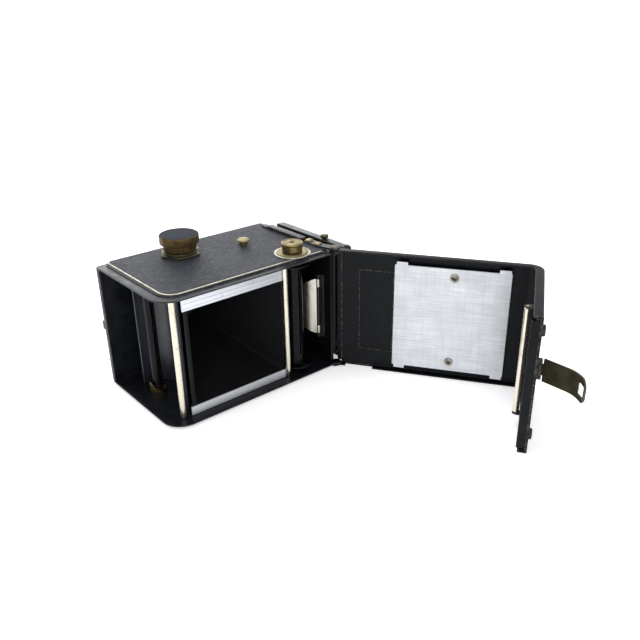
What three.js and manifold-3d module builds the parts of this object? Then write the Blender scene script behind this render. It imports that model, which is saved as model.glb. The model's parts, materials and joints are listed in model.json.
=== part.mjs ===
// Roll-film box camera with a reflex finder, lying on its side with the back open.
// Millimetres, +Z up. The camera is modelled from its own corner: X runs from the open (bottom) end
// to the hinge and finder end, Y from the open back to the front, Z from the side it lies on to the
// side with the knobs. One group then moves the origin to the centre of the side it lies on.
import * as THREE from "three";
import { mergeVertices } from "three/addons/utils/BufferGeometryUtils.js";
import Module from "manifold-3d";

// ---------- driving dimensions ----------
const LENGTH = 113.5; // body, along X
const DEPTH = 73; // body, along Y
const HEIGHT = 75.25; // body over both leather panels, along Z
const SHEET = 1; // door sheet
const SIDE_SHEET = 0.8; // side plates
const LEATHER = 0.5; // leather and trim thickness
const RAISED = 0.8; // raised field above the ledge
const LEDGE = LEATHER + RAISED; // ledge level, from the outside
const GLUE = 0.05; // gap left between faces that are glued, riveted or screwed together
const FREE = 0.3; // running gap between moving parts
const MID = HEIGHT / 2; // middle of the film width
const FLOOR_IN = LEDGE + SIDE_SHEET; // inner face of the lower side plate
const ROOF_IN = HEIGHT - FLOOR_IN; // inner face of the upper side plate

const HINGE = { x: 114.8, y: 2 }; // door hinge axis
const DOOR_OPEN = 123.4; // degrees from closed
const DOOR_FACE = -1.3; // outer face of the closed door, beyond the back edge and the open end
const SKIRT = 4.8; // width of the door's turned-in skirts
const FLAP_END = 68.2; // far edge of the flap when the door is closed
const DOOR_Z = [0.15, HEIGHT - 0.15]; // outer faces of the door's skirts

const GATE = { left: 18.8, right: 78.6, low: 7.1, high: 63.6, y: 6.9 }; // picture opening, film plane
const ROLLER_R = 1.7;
const SUPPLY_ROLLER = { x: 10.4, y: 8.3 };
const GATE_ROLLER = { x: 81.2, y: 7 };
const SUPPLY_AXIS = { x: 15, y: 44 }; // supply spool
const TAKE_UP_AXIS = { x: 92.3, y: 13.7 }; // take-up spool and winding knob
const SPOOL = { low: 5.2, high: 70, rim: 1 }; // both spools, along the film width
const TAKE_UP_SPOOL = { core: 5.2, flange: 10.6 };
const SUPPLY_CORE = { core: 2.9, flange: 3.4 }; // slim core that the full roll slides onto

const TAKING = { x: 48.5, z: MID }; // taking lens axis
const VIEWING = { x: 90.5, z: MID }; // viewing lens axis
const FOCUS = { x: 44.5, y: 56.3, pitch: 2.4, teeth: 12 }; // focusing knob and pinion
const BUTTON = { x: 80, y: 44.4, travel: 2 };
const LID = { back: 121.2, front: 126.6, end: 66.3, low: 0.8, high: 74.6, pinX: 123.8, pinY: 2.4 };
const RIVETS = [{ x: 111.8, y: 21.9 }, { x: 111.4, y: 13.5 }]; // of the hinge arm
const ROLL_PLATE = { x: 109.6, y: 12 }; // hinge of the spring plate in the take-up chamber
const STRAP = { x: -2.9, y: 48.7, open: 57, low: 31.5, high: 44.5 }; // latch strap hinge

// ---------- solids ----------
const wasm = await Module();
wasm.setup();

function solid(geometry) {
  const bare = geometry.clone();
  bare.deleteAttribute("normal");
  bare.deleteAttribute("uv");
  const merged = mergeVertices(bare, 1e-4);
  return new wasm.Manifold(
    new wasm.Mesh({
      numProp: 3,
      vertProperties: merged.attributes.position.array,
      triVerts: new Uint32Array(merged.index.array),
    }),
  );
}

function geometryOf(manifold) {
  const mesh = manifold.getMesh();
  const geometry = new THREE.BufferGeometry();
  geometry.setAttribute("position", new THREE.BufferAttribute(mesh.vertProperties, 3));
  geometry.setIndex(new THREE.BufferAttribute(mesh.triVerts, 1));
  return geometry;
}

function join(...pieces) {
  return geometryOf(pieces.map(solid).reduce((whole, piece) => whole.add(piece)));
}

function cut(piece, ...tools) {
  return geometryOf(tools.map(solid).reduce((rest, tool) => rest.subtract(tool), solid(piece)));
}

function box(x0, x1, y0, y1, z0, z1) {
  const block = new THREE.BoxGeometry(x1 - x0, y1 - y0, z1 - z0);
  return block.translate((x0 + x1) / 2, (y0 + y1) / 2, (z0 + z1) / 2);
}

function slab(shape, z0, z1, curveSegments = 8) {
  const plate = new THREE.ExtrudeGeometry(shape, { depth: z1 - z0, bevelEnabled: false, curveSegments });
  return plate.translate(0, 0, z0);
}

function disc(at, radius, z0, z1, sides = 20) {
  const round = new THREE.CylinderGeometry(radius, radius, z1 - z0, sides);
  return round.rotateX(Math.PI / 2).translate(at.x, at.y, (z0 + z1) / 2);
}

// A body turned about a line parallel to Z; the profile lists [radius, z] from axis to axis.
function turned(at, profile, sides = 24) {
  const points = profile.map(([radius, z]) => new THREE.Vector2(radius, z));
  return new THREE.LatheGeometry(points, sides).rotateX(Math.PI / 2).translate(at.x, at.y, 0);
}

// The same about a line parallel to Y, for the lenses; the profile lists [radius, y].
function turnedY(at, profile, sides = 28) {
  const points = profile.map(([radius, y]) => new THREE.Vector2(radius, y));
  return new THREE.LatheGeometry(points, sides).translate(at.x, 0, at.z);
}

// Rectangle with its own radius at each corner: back-left, back-right, front-right, front-left.
function panel(x0, y0, x1, y1, [a, b, c, d]) {
  const shape = new THREE.Shape();
  shape.moveTo(x0 + a, y0).lineTo(x1 - b, y0);
  if (b) shape.absarc(x1 - b, y0 + b, b, -Math.PI / 2, 0);
  shape.lineTo(x1, y1 - c);
  if (c) shape.absarc(x1 - c, y1 - c, c, 0, Math.PI / 2);
  shape.lineTo(x0 + d, y1);
  if (d) shape.absarc(x0 + d, y1 - d, d, Math.PI / 2, Math.PI);
  shape.lineTo(x0, y0 + a);
  if (a) shape.absarc(x0 + a, y0 + a, a, Math.PI, 1.5 * Math.PI);
  return shape;
}

function outline(...points) {
  return new THREE.Shape(points.map(([x, y]) => new THREE.Vector2(x, y)));
}

// The other side of the camera, turned over about the middle of the film width.
function mirrored(geometry) {
  const turnedOver = geometryOf(solid(geometry).scale([1, 1, -1]));
  return turnedOver.translate(0, 0, HEIGHT);
}

// ---------- materials ----------
const finish = (color, roughness, metalness) =>
  new THREE.MeshStandardMaterial({ color, roughness, metalness });
const BLACK = finish(0x1b1c1f, 0.5, 0.3);
const WORN = finish(0x4a4c50, 0.45, 0.4);
const HIDE = finish(0x55565b, 0.6, 0);
const NICKEL = finish(0xc9c6bb, 0.3, 0.9);
const ALUMINIUM = finish(0xc4c8cc, 0.35, 0.9);
const BRASS = finish(0x7d7355, 0.45, 0.8);
const GLASS = finish(0xaab4b4, 0.05, 0);
const RUBBER = finish(0x202020, 0.8, 0);

// ---------- body ----------
const TRIM = { left: 6, back: 4.6, width: 1.1, radius: 9, end: 107 };

function sidePlateUpper() {
  const sheetTop = HEIGHT - LEDGE;
  const sheet = slab(panel(0, 0, LENGTH, DEPTH, [12, 1.5, 2, 1]), ROOF_IN, sheetTop);
  const lug = disc(HINGE, 3.2, ROOF_IN, sheetTop);
  const field = slab(panel(5, 3.9, LENGTH, DEPTH, [10, 1.5, 2, 4]), sheetTop - 0.5, HEIGHT - LEATHER);
  const root = ROOF_IN + 0.3;
  const supplyStud = turned(SUPPLY_AXIS, [
    [0, 67], [1.6, 67.6], [1.6, 70.4], [4, 70.6], [4, root], [0, root],
  ]);
  const whole = join(sheet, lug, cut(field, disc(HINGE, 4.6, sheetTop, HEIGHT)), supplyStud);
  const through = (at, radius) => disc(at, radius, ROOF_IN - 1, HEIGHT + 1);
  return cut(
    whole,
    through(FOCUS, 2 + FREE),
    through(TAKE_UP_AXIS, 3 + FREE),
    through(BUTTON, 2.2 + FREE),
    through(HINGE, 1.2 + GLUE),
    disc(SUPPLY_ROLLER, 0.8 + FREE, ROOF_IN - 1, ROOF_IN + 0.6),
    disc(GATE_ROLLER, 0.8 + FREE, ROOF_IN - 1, ROOF_IN + 0.6),
  );
}

function sidePlateLower() {
  const sheet = slab(panel(0, 0, LENGTH, DEPTH, [12, 1.5, 2, 1]), LEDGE, FLOOR_IN);
  const lug = disc(HINGE, 3.2, LEDGE, FLOOR_IN);
  const field = slab(panel(5, 3.9, LENGTH, DEPTH, [10, 1.5, 2, 4]), LEATHER, LEDGE + 0.5);
  const takeUpStud = turned(TAKE_UP_AXIS, [
    [0, LEDGE], [4, LEDGE], [4, 4.6], [1.6, 4.8], [1.6, 8], [0, 8.6],
  ]);
  const whole = join(sheet, lug, cut(field, disc(HINGE, 4.6, 0, LEDGE)), takeUpStud);
  return cut(
    whole,
    disc(HINGE, 1.2 + GLUE, 0, HEIGHT / 4),
    disc(SUPPLY_ROLLER, 0.8 + FREE, FLOOR_IN - 0.6, FLOOR_IN + 1),
    disc(GATE_ROLLER, 0.8 + FREE, FLOOR_IN - 0.6, FLOOR_IN + 1),
  );
}

// The leather fills the field inside the trim line and runs to the front and the finder end.
function leatherUpper() {
  const inset = TRIM.width + GLUE;
  const field = panel(TRIM.left + inset, TRIM.back + inset, LENGTH - 0.6, DEPTH - 0.6, [8, 0, 1.5, 3]);
  const sheet = slab(field, HEIGHT - LEATHER + GLUE, HEIGHT);
  const through = (at, radius) => disc(at, radius, HEIGHT - 1, HEIGHT + 1);
  return cut(
    sheet,
    through(FOCUS, 6),
    through(TAKE_UP_AXIS, 4.5),
    through(BUTTON, 2.9),
    disc(HINGE, 6.2, HEIGHT - 1, HEIGHT + 1),
    ...RIVETS.map((at) => through(at, 1.4)),
  );
}

function leatherLower() {
  const inset = TRIM.width + GLUE;
  const field = panel(TRIM.left + inset, TRIM.back + inset, LENGTH - 0.6, DEPTH - 0.6, [8, 0, 1.5, 3]);
  return cut(slab(field, 0, LEATHER - GLUE), disc(HINGE, 6.2, -1, 1));
}

// Trim line: up the open end, round the back corner and along the back edge.
function trimUpper() {
  const { left, back, width, radius, end } = TRIM;
  const line = new THREE.Shape();
  line.moveTo(left, DEPTH - 2).lineTo(left, back + radius);
  line.absarc(left + radius, back + radius, radius, Math.PI, 1.5 * Math.PI);
  line.lineTo(end, back).lineTo(end, back + width).lineTo(left + radius, back + width);
  line.absarc(left + radius, back + radius, radius - width, 1.5 * Math.PI, Math.PI, true);
  line.lineTo(left + width, DEPTH - 2);
  return slab(line, HEIGHT - LEATHER + GLUE, HEIGHT, 12);
}

function frontWall() {
  const wall = box(0.4, LENGTH, 70.9, DEPTH, FLOOR_IN + GLUE, ROOF_IN - GLUE);
  return cut(
    wall,
    turnedY(TAKING, [[0, 69], [15, 69], [15, 75], [0, 75]]),
    turnedY(VIEWING, [[0, 69], [13, 69], [13, 75], [0, 75]]),
    box(45.5, 53, 69, 75, 62.5, 67.5),
  );
}

function endWall() {
  const wall = box(111.5, LENGTH, 2.6, 70.8, FLOOR_IN + GLUE, ROOF_IN - GLUE);
  return cut(wall, box(110, 115, 31.5, 67, 12, HEIGHT - 12));
}

// The light box: a flanged gate that narrows to the taking lens.
function lightBox() {
  const flange = box(16.6, 79.3, GATE.y + 1.1, GATE.y + 2.3, FLOOR_IN + GLUE, ROOF_IN - GLUE);
  const near = GATE.y + 2.2;
  const far = 70;
  const frustum = (margin, y0, y1) => {
    const prism = new THREE.CylinderGeometry(Math.SQRT1_2, Math.SQRT1_2, 1, 4);
    const hull = prism.rotateY(Math.PI / 4).toNonIndexed();
    const place = hull.attributes.position;
    for (let i = 0; i < place.count; i += 1) {
      const nearEnd = place.getY(i) < 0;
      const [cx, halfX] = nearEnd ? [48.7, 31.2] : [TAKING.x, 9.8];
      const [cz, halfZ] = nearEnd ? [35.8, 30] : [TAKING.z, 9.8];
      place.setXYZ(
        i,
        cx + Math.sign(place.getX(i)) * (halfX - margin),
        nearEnd ? y0 : y1,
        cz + Math.sign(place.getZ(i)) * (halfZ - margin),
      );
    }
    return hull;
  };
  const shell = join(flange, frustum(0, near - 0.1, far));
  const opening = box(GATE.left, GATE.right, GATE.y - 1, near + 1, GATE.low, GATE.high);
  return cut(shell, frustum(1.1, near, far + 0.5), opening);
}

function rail(z0, z1) {
  return box(15.3, 79.2, GATE.y, GATE.y + 1.05, z0, z1);
}

// Sheet wall round the supply spool: straight from the gate, then an arc about the spool.
function supplyChamberWall() {
  const outer = 12.9;
  const inner = 11.9;
  const arc = (radius, from, to, back) =>
    Array.from({ length: 15 }, (_, i) => {
      const angle = THREE.MathUtils.degToRad(from + ((to - from) * (back ? 14 - i : i)) / 14);
      return [SUPPLY_AXIS.x + radius * Math.cos(angle), SUPPLY_AXIS.y + radius * Math.sin(angle)];
    });
  const start = -28;
  const end = 104;
  const wall = outline(
    [15.4, 12.3],
    [16.4, 12.3],
    ...arc(outer, start, end, false),
    ...arc(inner, start, end, true),
  );
  return slab(wall, FLOOR_IN + GLUE, ROOF_IN - GLUE);
}

function takeUpChamberWall() {
  const outer = 13.1;
  const inner = 12.1;
  const arc = (radius, back) =>
    Array.from({ length: 13 }, (_, i) => {
      const angle = THREE.MathUtils.degToRad(158 - (78 * (back ? 12 - i : i)) / 12);
      return [TAKE_UP_AXIS.x + radius * Math.cos(angle), TAKE_UP_AXIS.y + radius * Math.sin(angle)];
    });
  const wall = outline(...arc(outer, false), [111, 28.2], [111, 27.2], ...arc(inner, true));
  return slab(wall, FLOOR_IN + GLUE, ROOF_IN - GLUE);
}

// Brass cup with a centre stud that carries the lower end of the supply core. Its rim rises to a
// tongue on the open side, where the roll is slid in.
function supplySeat() {
  const { x, y } = SUPPLY_AXIS;
  const z = FLOOR_IN + GLUE;
  const cup = turned(SUPPLY_AXIS, [
    [0, z], [4.6, z], [4.8, z + 6.8], [4.2, z + 6.8], [4, z + 0.8], [0, z + 0.8],
  ]);
  const stud = turned(SUPPLY_AXIS, [[0, z], [1.6, z], [1.6, z + 4], [0, z + 4.6]]);
  const cleared = outline(
    [x - 3.6, z + 9], [x - 2.6, z + 3.4], [x - 0.5, z + 1.6], [x + 8, z + 1.6], [x + 8, z + 9],
  );
  const lowRim = slab(cleared, -6, 6).rotateX(Math.PI / 2).translate(0, y, 0);
  return join(cut(cup, lowRim), stud);
}

function roller(at, z0, z1) {
  const profile = [
    [0, z0], [0.8, z0], [0.8, z0 + 1], [ROLLER_R, z0 + 1.2],
    [ROLLER_R, z1 - 1.2], [0.8, z1 - 1], [0.8, z1], [0, z1],
  ];
  return turned(at, profile, 16);
}

// ---------- film spools and winding ----------
function spool(at, { core, flange }) {
  const { low, high, rim } = SPOOL;
  const body = turned(at, [
    [0, low], [flange, low], [flange, low + rim], [core, low + rim],
    [core, high - rim], [flange, high - rim], [flange, high], [0, high],
  ]);
  const socket = (z0, z1) => disc(at, 2, z0, z1, 24);
  const filmSlot = box(at.x - 0.6, at.x + 0.6, at.y - 7, at.y + 7, 12, HEIGHT - 12);
  const keyway = box(at.x - 0.9, at.x + 0.9, at.y - 0.6 * core, at.y + 0.6 * core, high - 4, high + 1);
  return cut(body, socket(low - 1, low + 5), socket(high - 5, high + 1), filmSlot, keyway);
}

// The winding shaft ends in a flat key that turns the take-up spool.
function windShaft() {
  const at = TAKE_UP_AXIS;
  const shaft = turned(at, [[0, 70.6], [2.6, 70.6], [2.6, 76.5], [0, 76.5]], 24);
  const blade = box(at.x - 0.6, at.x + 0.6, at.y - 1.7, at.y + 1.7, 66.8, 71);
  return join(shaft, blade);
}

function windKnob() {
  const z = 76.6;
  return turned(TAKE_UP_AXIS, [
    [0, z], [5.8, z], [5.7, z + 3.9], [6.5, z + 4.1], [6.5, z + 4.9],
    [5.9, z + 5.3], [2.4, z + 4.8], [1.2, z + 4.6], [1.1, z + 3], [0, z + 3],
  ], 28);
}

function windFlange() {
  const z = HEIGHT + 0.55;
  return turned(TAKE_UP_AXIS, [
    [3.3, z], [9.2, z], [9.1, z + 0.4], [7.6, z + 0.65], [3.3, z + 0.65], [3.3, z],
  ], 28);
}

function windWasher() {
  const z = HEIGHT + GLUE;
  return turned(TAKE_UP_AXIS, [[3.4, z], [10.6, z], [10.5, z + 0.45], [3.4, z + 0.45], [3.4, z]], 28);
}

// ---------- focusing ----------
function focusFlange() {
  const z = HEIGHT + GLUE;
  const hex = disc(FOCUS, 11.4, z, z + 1.2, 6);
  const boss = disc(FOCUS, 9.4, z + 1, z + 2.2);
  return cut(join(hex, boss), disc(FOCUS, 2.4, z - 1, z + 3));
}

function focusKnob() {
  const z = HEIGHT + 2.6;
  const ribs = 12;
  const waist = new THREE.Shape();
  for (let i = 0; i < 4 * ribs; i += 1) {
    const angle = (i * Math.PI) / (2 * ribs);
    const radius = i % 4 < 2 ? 9.3 : 8.7;
    const point = [FOCUS.x + radius * Math.cos(angle), FOCUS.y + radius * Math.sin(angle)];
    if (i) waist.lineTo(...point);
    else waist.moveTo(...point);
  }
  const cap = turned(FOCUS, [
    [0, z + 4], [10.5, z + 4], [10.9, z + 4.4], [10.9, z + 8.9], [10.5, z + 9.3], [0, z + 9.3],
  ], 36);
  return join(slab(waist, z, z + 4.1), cap);
}

// The shaft carries a small pinion inside the body.
function pinionShape() {
  const { pitch, teeth } = FOCUS;
  const shape = new THREE.Shape();
  for (let i = 0; i < teeth; i += 1) {
    const middle = (2 * Math.PI * i) / teeth;
    const [root, tip] = [pitch - 0.45, pitch + 0.3];
    const corners = [[-0.13, root], [-0.06, tip], [0.06, tip], [0.13, root]];
    for (const [offset, radius] of corners) {
      const angle = middle + offset;
      const point = [FOCUS.x + radius * Math.cos(angle), FOCUS.y + radius * Math.sin(angle)];
      if (i || offset !== -0.13) shape.lineTo(...point);
      else shape.moveTo(...point);
    }
  }
  return shape;
}

function focusShaft() {
  const shaft = disc(FOCUS, 1.9, 62, HEIGHT + 2.5, 24);
  return join(shaft, slab(pinionShape(), 63, 67));
}

// Rack on the lens board; its teeth face the pinion.
function focusRack() {
  const { pitch, teeth } = FOCUS;
  const step = (2 * Math.PI * pitch) / teeth;
  const line = FOCUS.x + pitch;
  const points = [[line + 2.6, 77.5], [line + 2.6, 48]];
  points.push([line + 0.5, 48]);
  for (let i = -6; i <= 6; i += 1) {
    const middle = FOCUS.y + (i + 0.5) * step;
    points.push([line + 0.5, middle - 0.32], [line - 0.3, middle - 0.16]);
    points.push([line - 0.3, middle + 0.16], [line + 0.5, middle + 0.32]);
  }
  points.push([line + 0.5, 77.5]);
  return slab(outline(...points), 63, 67);
}

function lensBoard() {
  const plate = new THREE.ExtrudeGeometry(panel(22, -HEIGHT + 10, 109, -10, [6, 6, 6, 6]), {
    depth: 2.5,
    bevelEnabled: false,
    curveSegments: 6,
  });
  plate.rotateX(-Math.PI / 2).translate(0, DEPTH + 0.4, 0);
  return cut(
    plate,
    turnedY(TAKING, [[0, 72], [12, 72], [12, 78], [0, 78]]),
    turnedY(VIEWING, [[0, 72], [11, 72], [11, 78], [0, 78]]),
    box(46.6, 49.7, 72, 78, 62.8, 67.2),
  );
}

function shutterHousing() {
  const y = DEPTH + 2.95;
  return turnedY(TAKING, [
    [8.3, y - 4.5], [11.8, y - 4.5], [11.8, y], [20, y], [20, y + 5], [19, y + 6], [12.5, y + 6],
    [12.2, y + 11], [11.2, y + 11.6], [9.8, y + 11.6], [8.3, y + 9.5], [8.3, y - 4.5],
  ]);
}

function lens(at, radius, y) {
  return turnedY(at, [[0, y], [radius, y], [radius, y + 2], [radius * 0.6, y + 2.9], [0, y + 3.3]], 24);
}

function viewingMount() {
  const y = DEPTH + 2.95;
  return turnedY(VIEWING, [
    [7.9, y - 5], [10.8, y - 5], [10.8, y], [14.5, y], [14.5, y + 1.5], [12, y + 2.5], [12, y + 8],
    [11.2, y + 8.6], [9.4, y + 8.6], [7.9, y + 7], [7.9, y - 5],
  ]);
}

const LEVER = { y0: DEPTH + 9.1, y1: DEPTH + 10.1 }; // between the housing and the barrel's end

// Release lever: a ring sector round the lens barrel with a finger tab.
function shutterLever() {
  const { y0, y1 } = LEVER;
  const ring = turnedY(TAKING, [[12.9, y0], [15.5, y0], [15.5, y1], [12.9, y1], [12.9, y0]]);
  const tab = box(TAKING.x - 1.6, TAKING.x + 1.6, y0, y1, MID - 26, MID - 14.5);
  return join(ring, tab);
}

// ---------- finder ----------
function mirrorGlass() {
  const pane = new THREE.BoxGeometry(38, 1.5, 46);
  return pane.rotateZ(-Math.PI / 4).translate(VIEWING.x - 0.2, 48, MID);
}

function hoodBase() {
  const frame = cut(
    box(LENGTH + GLUE, 118.8, 6.5, 69.5, 4.2, HEIGHT - 4.2),
    box(LENGTH - 1, 120, 31, 67.5, 11.5, HEIGHT - 11.5),
  );
  const lugShape = outline(
    [118, 6.6], [118, 16], [122, 16], [125, 7], [125.4, 3.4], [124.9, 1.2], [122.7, 1.2], [120.6, 6.6],
  );
  const lug = (z0) => slab(lugShape, z0, z0 + 2);
  const bore = { x: LID.pinX, y: LID.pinY };
  return cut(join(frame, lug(4.3), lug(HEIGHT - 6.3)), disc(bore, 1 + GLUE, 0, HEIGHT, 20));
}

function hoodLid() {
  const { back, front, end, low, high, pinX, pinY } = LID;
  const radius = front - pinX;
  const side = new THREE.Shape();
  side.moveTo(front, pinY).lineTo(front, end - 2);
  side.absarc(front - 2, end - 2, 2, 0, Math.PI / 2);
  side.lineTo(back, end).lineTo(back, pinY);
  side.absarc(pinX, pinY, pinX - back, Math.PI, 1.5 * Math.PI);
  side.lineTo(pinX, pinY - radius);
  side.absarc(pinX, pinY, radius, 1.5 * Math.PI, 2 * Math.PI);
  const hollow = box(back - 5, front - SHEET, -5, end - SHEET, low + SHEET, high - SHEET);
  const bore = disc({ x: pinX, y: pinY }, 1 + 0.1, 0, HEIGHT, 20);
  return cut(slab(side, low, high), hollow, bore);
}

function hoodPin() {
  const at = { x: LID.pinX, y: LID.pinY };
  const headLow = LID.low - 0.1;
  const headHigh = LID.high + 0.1;
  return turned(at, [
    [0, headLow - 0.6], [1.8, headLow - 0.6], [1.8, headLow], [1, headLow],
    [1, headHigh], [1.8, headHigh], [1.8, headHigh + 0.7], [1.1, headHigh + 0.9],
    [0, headHigh + 0.5],
  ], 16);
}

function lidStud() {
  const at = { x: 123.6, y: 22 };
  const z = LID.high + GLUE;
  return turned(at, [
    [0, z], [1.5, z], [1.5, z + 0.6], [2.5, z + 0.9], [2.5, z + 2.2], [1.8, z + 2.6], [0, z + 2.7],
  ], 16);
}

// Bar riveted along the finder end of the knob side, with a foot at its front end.
function stayBar() {
  const z = HEIGHT + GLUE;
  const bar = slab(panel(108.4, 26, 112.9, 60, [1, 1, 1, 1]), z, z + 1.9, 3);
  const foot = slab(panel(108.6, 57, 112.7, 66.5, [1, 1, 2, 2]), z, z + 0.8, 3);
  return join(bar, foot);
}

// Arm from the two rivets to the hinge pin, lying over the door's ear.
function hingeArm() {
  const z = HEIGHT + GLUE;
  const arm = outline(
    [109.2, 24.6], [114.2, 24.6], [114.4, 12], [117.6, 3],
    [116.9, 0], [114.4, -1], [112.2, 0.4], [108.9, 12],
  );
  const holes = [...RIVETS, HINGE].map((at) => disc(at, 1.3, z - 1, z + 2, 20));
  return cut(slab(arm, z, z + 0.9), ...holes);
}

function rivet(at) {
  const z = HEIGHT + 1;
  const root = HEIGHT - LEATHER + GLUE;
  return turned(at, [
    [0, root], [1.2, root], [1.2, z], [2.3, z], [2.1, z + 0.6], [1.2, z + 1], [0, z + 1.1],
  ], 16);
}

function hingePinUpper() {
  const z = HEIGHT + 1;
  return turned(HINGE, [
    [0, ROOF_IN], [1.2, ROOF_IN], [1.2, z], [2.7, z], [2.5, z + 0.7], [1.4, z + 1.2], [0, z + 1.3],
  ], 16);
}

function hingePinLower() {
  return turned(HINGE, [
    [0, 0.02], [2.5, 0.02], [2.5, 0.1], [1.2, 0.1], [1.2, FLOOR_IN], [0, FLOOR_IN],
  ], 16);
}

function releaseButton() {
  const z = HEIGHT + 2.4;
  return turned(BUTTON, [
    [0, 69.5], [3.4, 69.5], [3.4, 70.2], [2.2, 70.3], [2.2, z], [4, z], [4, z + 0.7],
    [3.2, z + 1.3], [1.6, z + 1.6], [0, z + 1.7],
  ], 20);
}

// ---------- roll spring plate in the take-up chamber ----------
function rollPlateBracket() {
  const { x, y } = ROLL_PLATE;
  const base = box(111, 111.45, y - 3.2, y + 1.6, 17.5, HEIGHT - 17.5);
  const ear = (z0) => box(x - 1.1, 111.2, y - 1.4, y + 1.4, z0, z0 + 1);
  const pin = disc(ROLL_PLATE, 0.6, 18, HEIGHT - 18, 12);
  return join(base, ear(17.5), ear(HEIGHT - 18.5), pin);
}

// Curved leaf whose free edge is shorter than its hinged edge.
function rollPlate() {
  const { x, y } = ROLL_PLATE;
  const side = new THREE.Shape();
  side.moveTo(x - 1.2, y + 0.2).quadraticCurveTo(x - 5.2, y + 3.2, x - 7.2, y + 8.4);
  side.lineTo(x - 6.7, y + 8.7).quadraticCurveTo(x - 4.6, y + 3.8, x - 0.8, y + 0.8);
  const leaf = slab(side, 20, HEIGHT - 20, 5);
  const corner = outline([y + 1, 20], [y + 9.5, 24.7], [y + 9.5, 17], [y + 1, 17]);
  const wedge = new THREE.ExtrudeGeometry(corner, { depth: 12, bevelEnabled: false });
  wedge.rotateX(Math.PI / 2).rotateZ(Math.PI / 2).translate(x - 10, 0, 0);
  const knuckle = (z0) => disc(ROLL_PLATE, 1.2, z0, z0 + 5, 16);
  const bore = disc(ROLL_PLATE, 0.6 + 0.1, 0, HEIGHT, 12);
  return cut(join(cut(leaf, wedge, mirrored(wedge)), knuckle(20), knuckle(HEIGHT - 25)), bore);
}

// ---------- door, in its closed place ----------
const FLAP_FACE = DOOR_FACE; // the flap's outer face lies as far beyond the open end
const CORNER = 8; // bend between back and flap

// L-shaped band that follows the outside of the door, with a given width.
function doorBand(width, hingeEnd) {
  const inner = Math.max(CORNER - width, 0.5);
  const x0 = FLAP_FACE;
  const y0 = DOOR_FACE;
  const band = new THREE.Shape();
  band.moveTo(hingeEnd, y0).lineTo(hingeEnd, y0 + width).lineTo(x0 + width + inner, y0 + width);
  band.absarc(x0 + width + inner, y0 + width + inner, inner, 1.5 * Math.PI, Math.PI, true);
  band.lineTo(x0 + width, FLAP_END).lineTo(x0, FLAP_END).lineTo(x0, y0 + CORNER);
  band.absarc(x0 + CORNER, y0 + CORNER, CORNER, Math.PI, 1.5 * Math.PI);
  return band;
}

function doorShell() {
  const [z0, z1] = DOOR_Z;
  const wall = slab(doorBand(SHEET, HINGE.x - 3), z0, z1);
  const skirtTop = slab(doorBand(SKIRT, HINGE.x - 1), z1 - SHEET, z1);
  const skirtLow = slab(doorBand(SKIRT, HINGE.x - 1), z0, z0 + SHEET);
  const notch = box(HINGE.x - 23, HINGE.x - 6, DOOR_FACE + SHEET + 0.5, SKIRT, 0, z0 + SHEET + 0.5);
  const ears = [disc(HINGE, 3.6, z1 - SHEET, z1), disc(HINGE, 3.6, z0, z0 + SHEET)];
  const lip = box(FLAP_FACE + 0.5, 4.3, FLAP_END - SHEET, FLAP_END, FLOOR_IN + 0.6, ROOF_IN - 0.6);
  return cut(join(wall, skirtTop, cut(skirtLow, notch), ...ears, lip), disc(HINGE, 1.2 + FREE, 0, HEIGHT));
}

const PLATE = { x0: HINGE.x - 100, x1: HINGE.x - 35, y: 1.95, z0: 5.4, z1: 69.4 };
const PLATE_SCREWS = [{ x: HINGE.x - 68.5, z: 11.2 }, { x: HINGE.x - 68.5, z: HEIGHT - 11.2 }];

// Sprung plate that holds the film flat, with two tabs on each long edge and a turned-down end.
function pressurePlate() {
  const { x0, x1, y, z0, z1 } = PLATE;
  const sheet = box(x0, x1, y, y + 0.8, z0, z1);
  const tab = (x, low, high) => box(x, x + 6.5, y, y + 0.8, low, high);
  const end = box(x1 - 0.8, x1, y - 0.9, y + 0.4, z0 + 1, z1 - 1);
  const hole = (at) => turnedY(at, [[0, y - 2], [1.5, y - 2], [1.5, y + 2], [0, y + 2]], 20);
  const holes = PLATE_SCREWS.map(hole);
  return cut(
    join(
      sheet,
      end,
      tab(x0 + 0.5, z0 - 2, z0 + 0.5),
      tab(x1 - 7.5, z0 - 2, z0 + 0.5),
      tab(x0 + 0.5, z1 - 0.5, z1 + 1.8),
      tab(x1 - 7.5, z1 - 0.5, z1 + 1.8),
    ),
    ...holes,
  );
}

function plateScrew(at) {
  const y = DOOR_FACE + SHEET + GLUE;
  const head = PLATE.y + 0.9;
  return turnedY(at, [
    [0, y], [1.2, y], [1.2, head], [2.6, head], [2.4, head + 0.6], [0.9, head + 0.3], [0, head + 0.3],
  ], 16);
}

const FLAP_ROLLER = { x: 5.8, y: 41.7 };

function flapRollerBracket() {
  const { x, y } = FLAP_ROLLER;
  const base = box(GLUE - 0.3, 0.55, y - 4, y + 4, 6.4, HEIGHT - 6.4);
  const arm = (z0) => box(0, x + 1.8, y - 1.8, y + 1.8, z0, z0 + 0.9);
  const bore = disc(FLAP_ROLLER, 0.8 + 0.1, 0, HEIGHT, 16);
  return cut(join(base, arm(6.4), arm(HEIGHT - 7.3)), bore);
}

function flapRoller() {
  const z0 = 6.5;
  const z1 = HEIGHT - 6.5;
  return turned(FLAP_ROLLER, [
    [0, z0], [0.8, z0], [0.8, z0 + 1.2], [ROLLER_R, z0 + 1.3],
    [ROLLER_R, z1 - 1.3], [0.8, z1 - 1.2], [0.8, z1], [0, z1],
  ], 16);
}

function foot(y, z) {
  const outer = FLAP_FACE - GLUE;
  return new THREE.CylinderGeometry(2.6, 3, 1.5, 24).rotateZ(-Math.PI / 2).translate(outer - 0.75, y, z);
}

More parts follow.
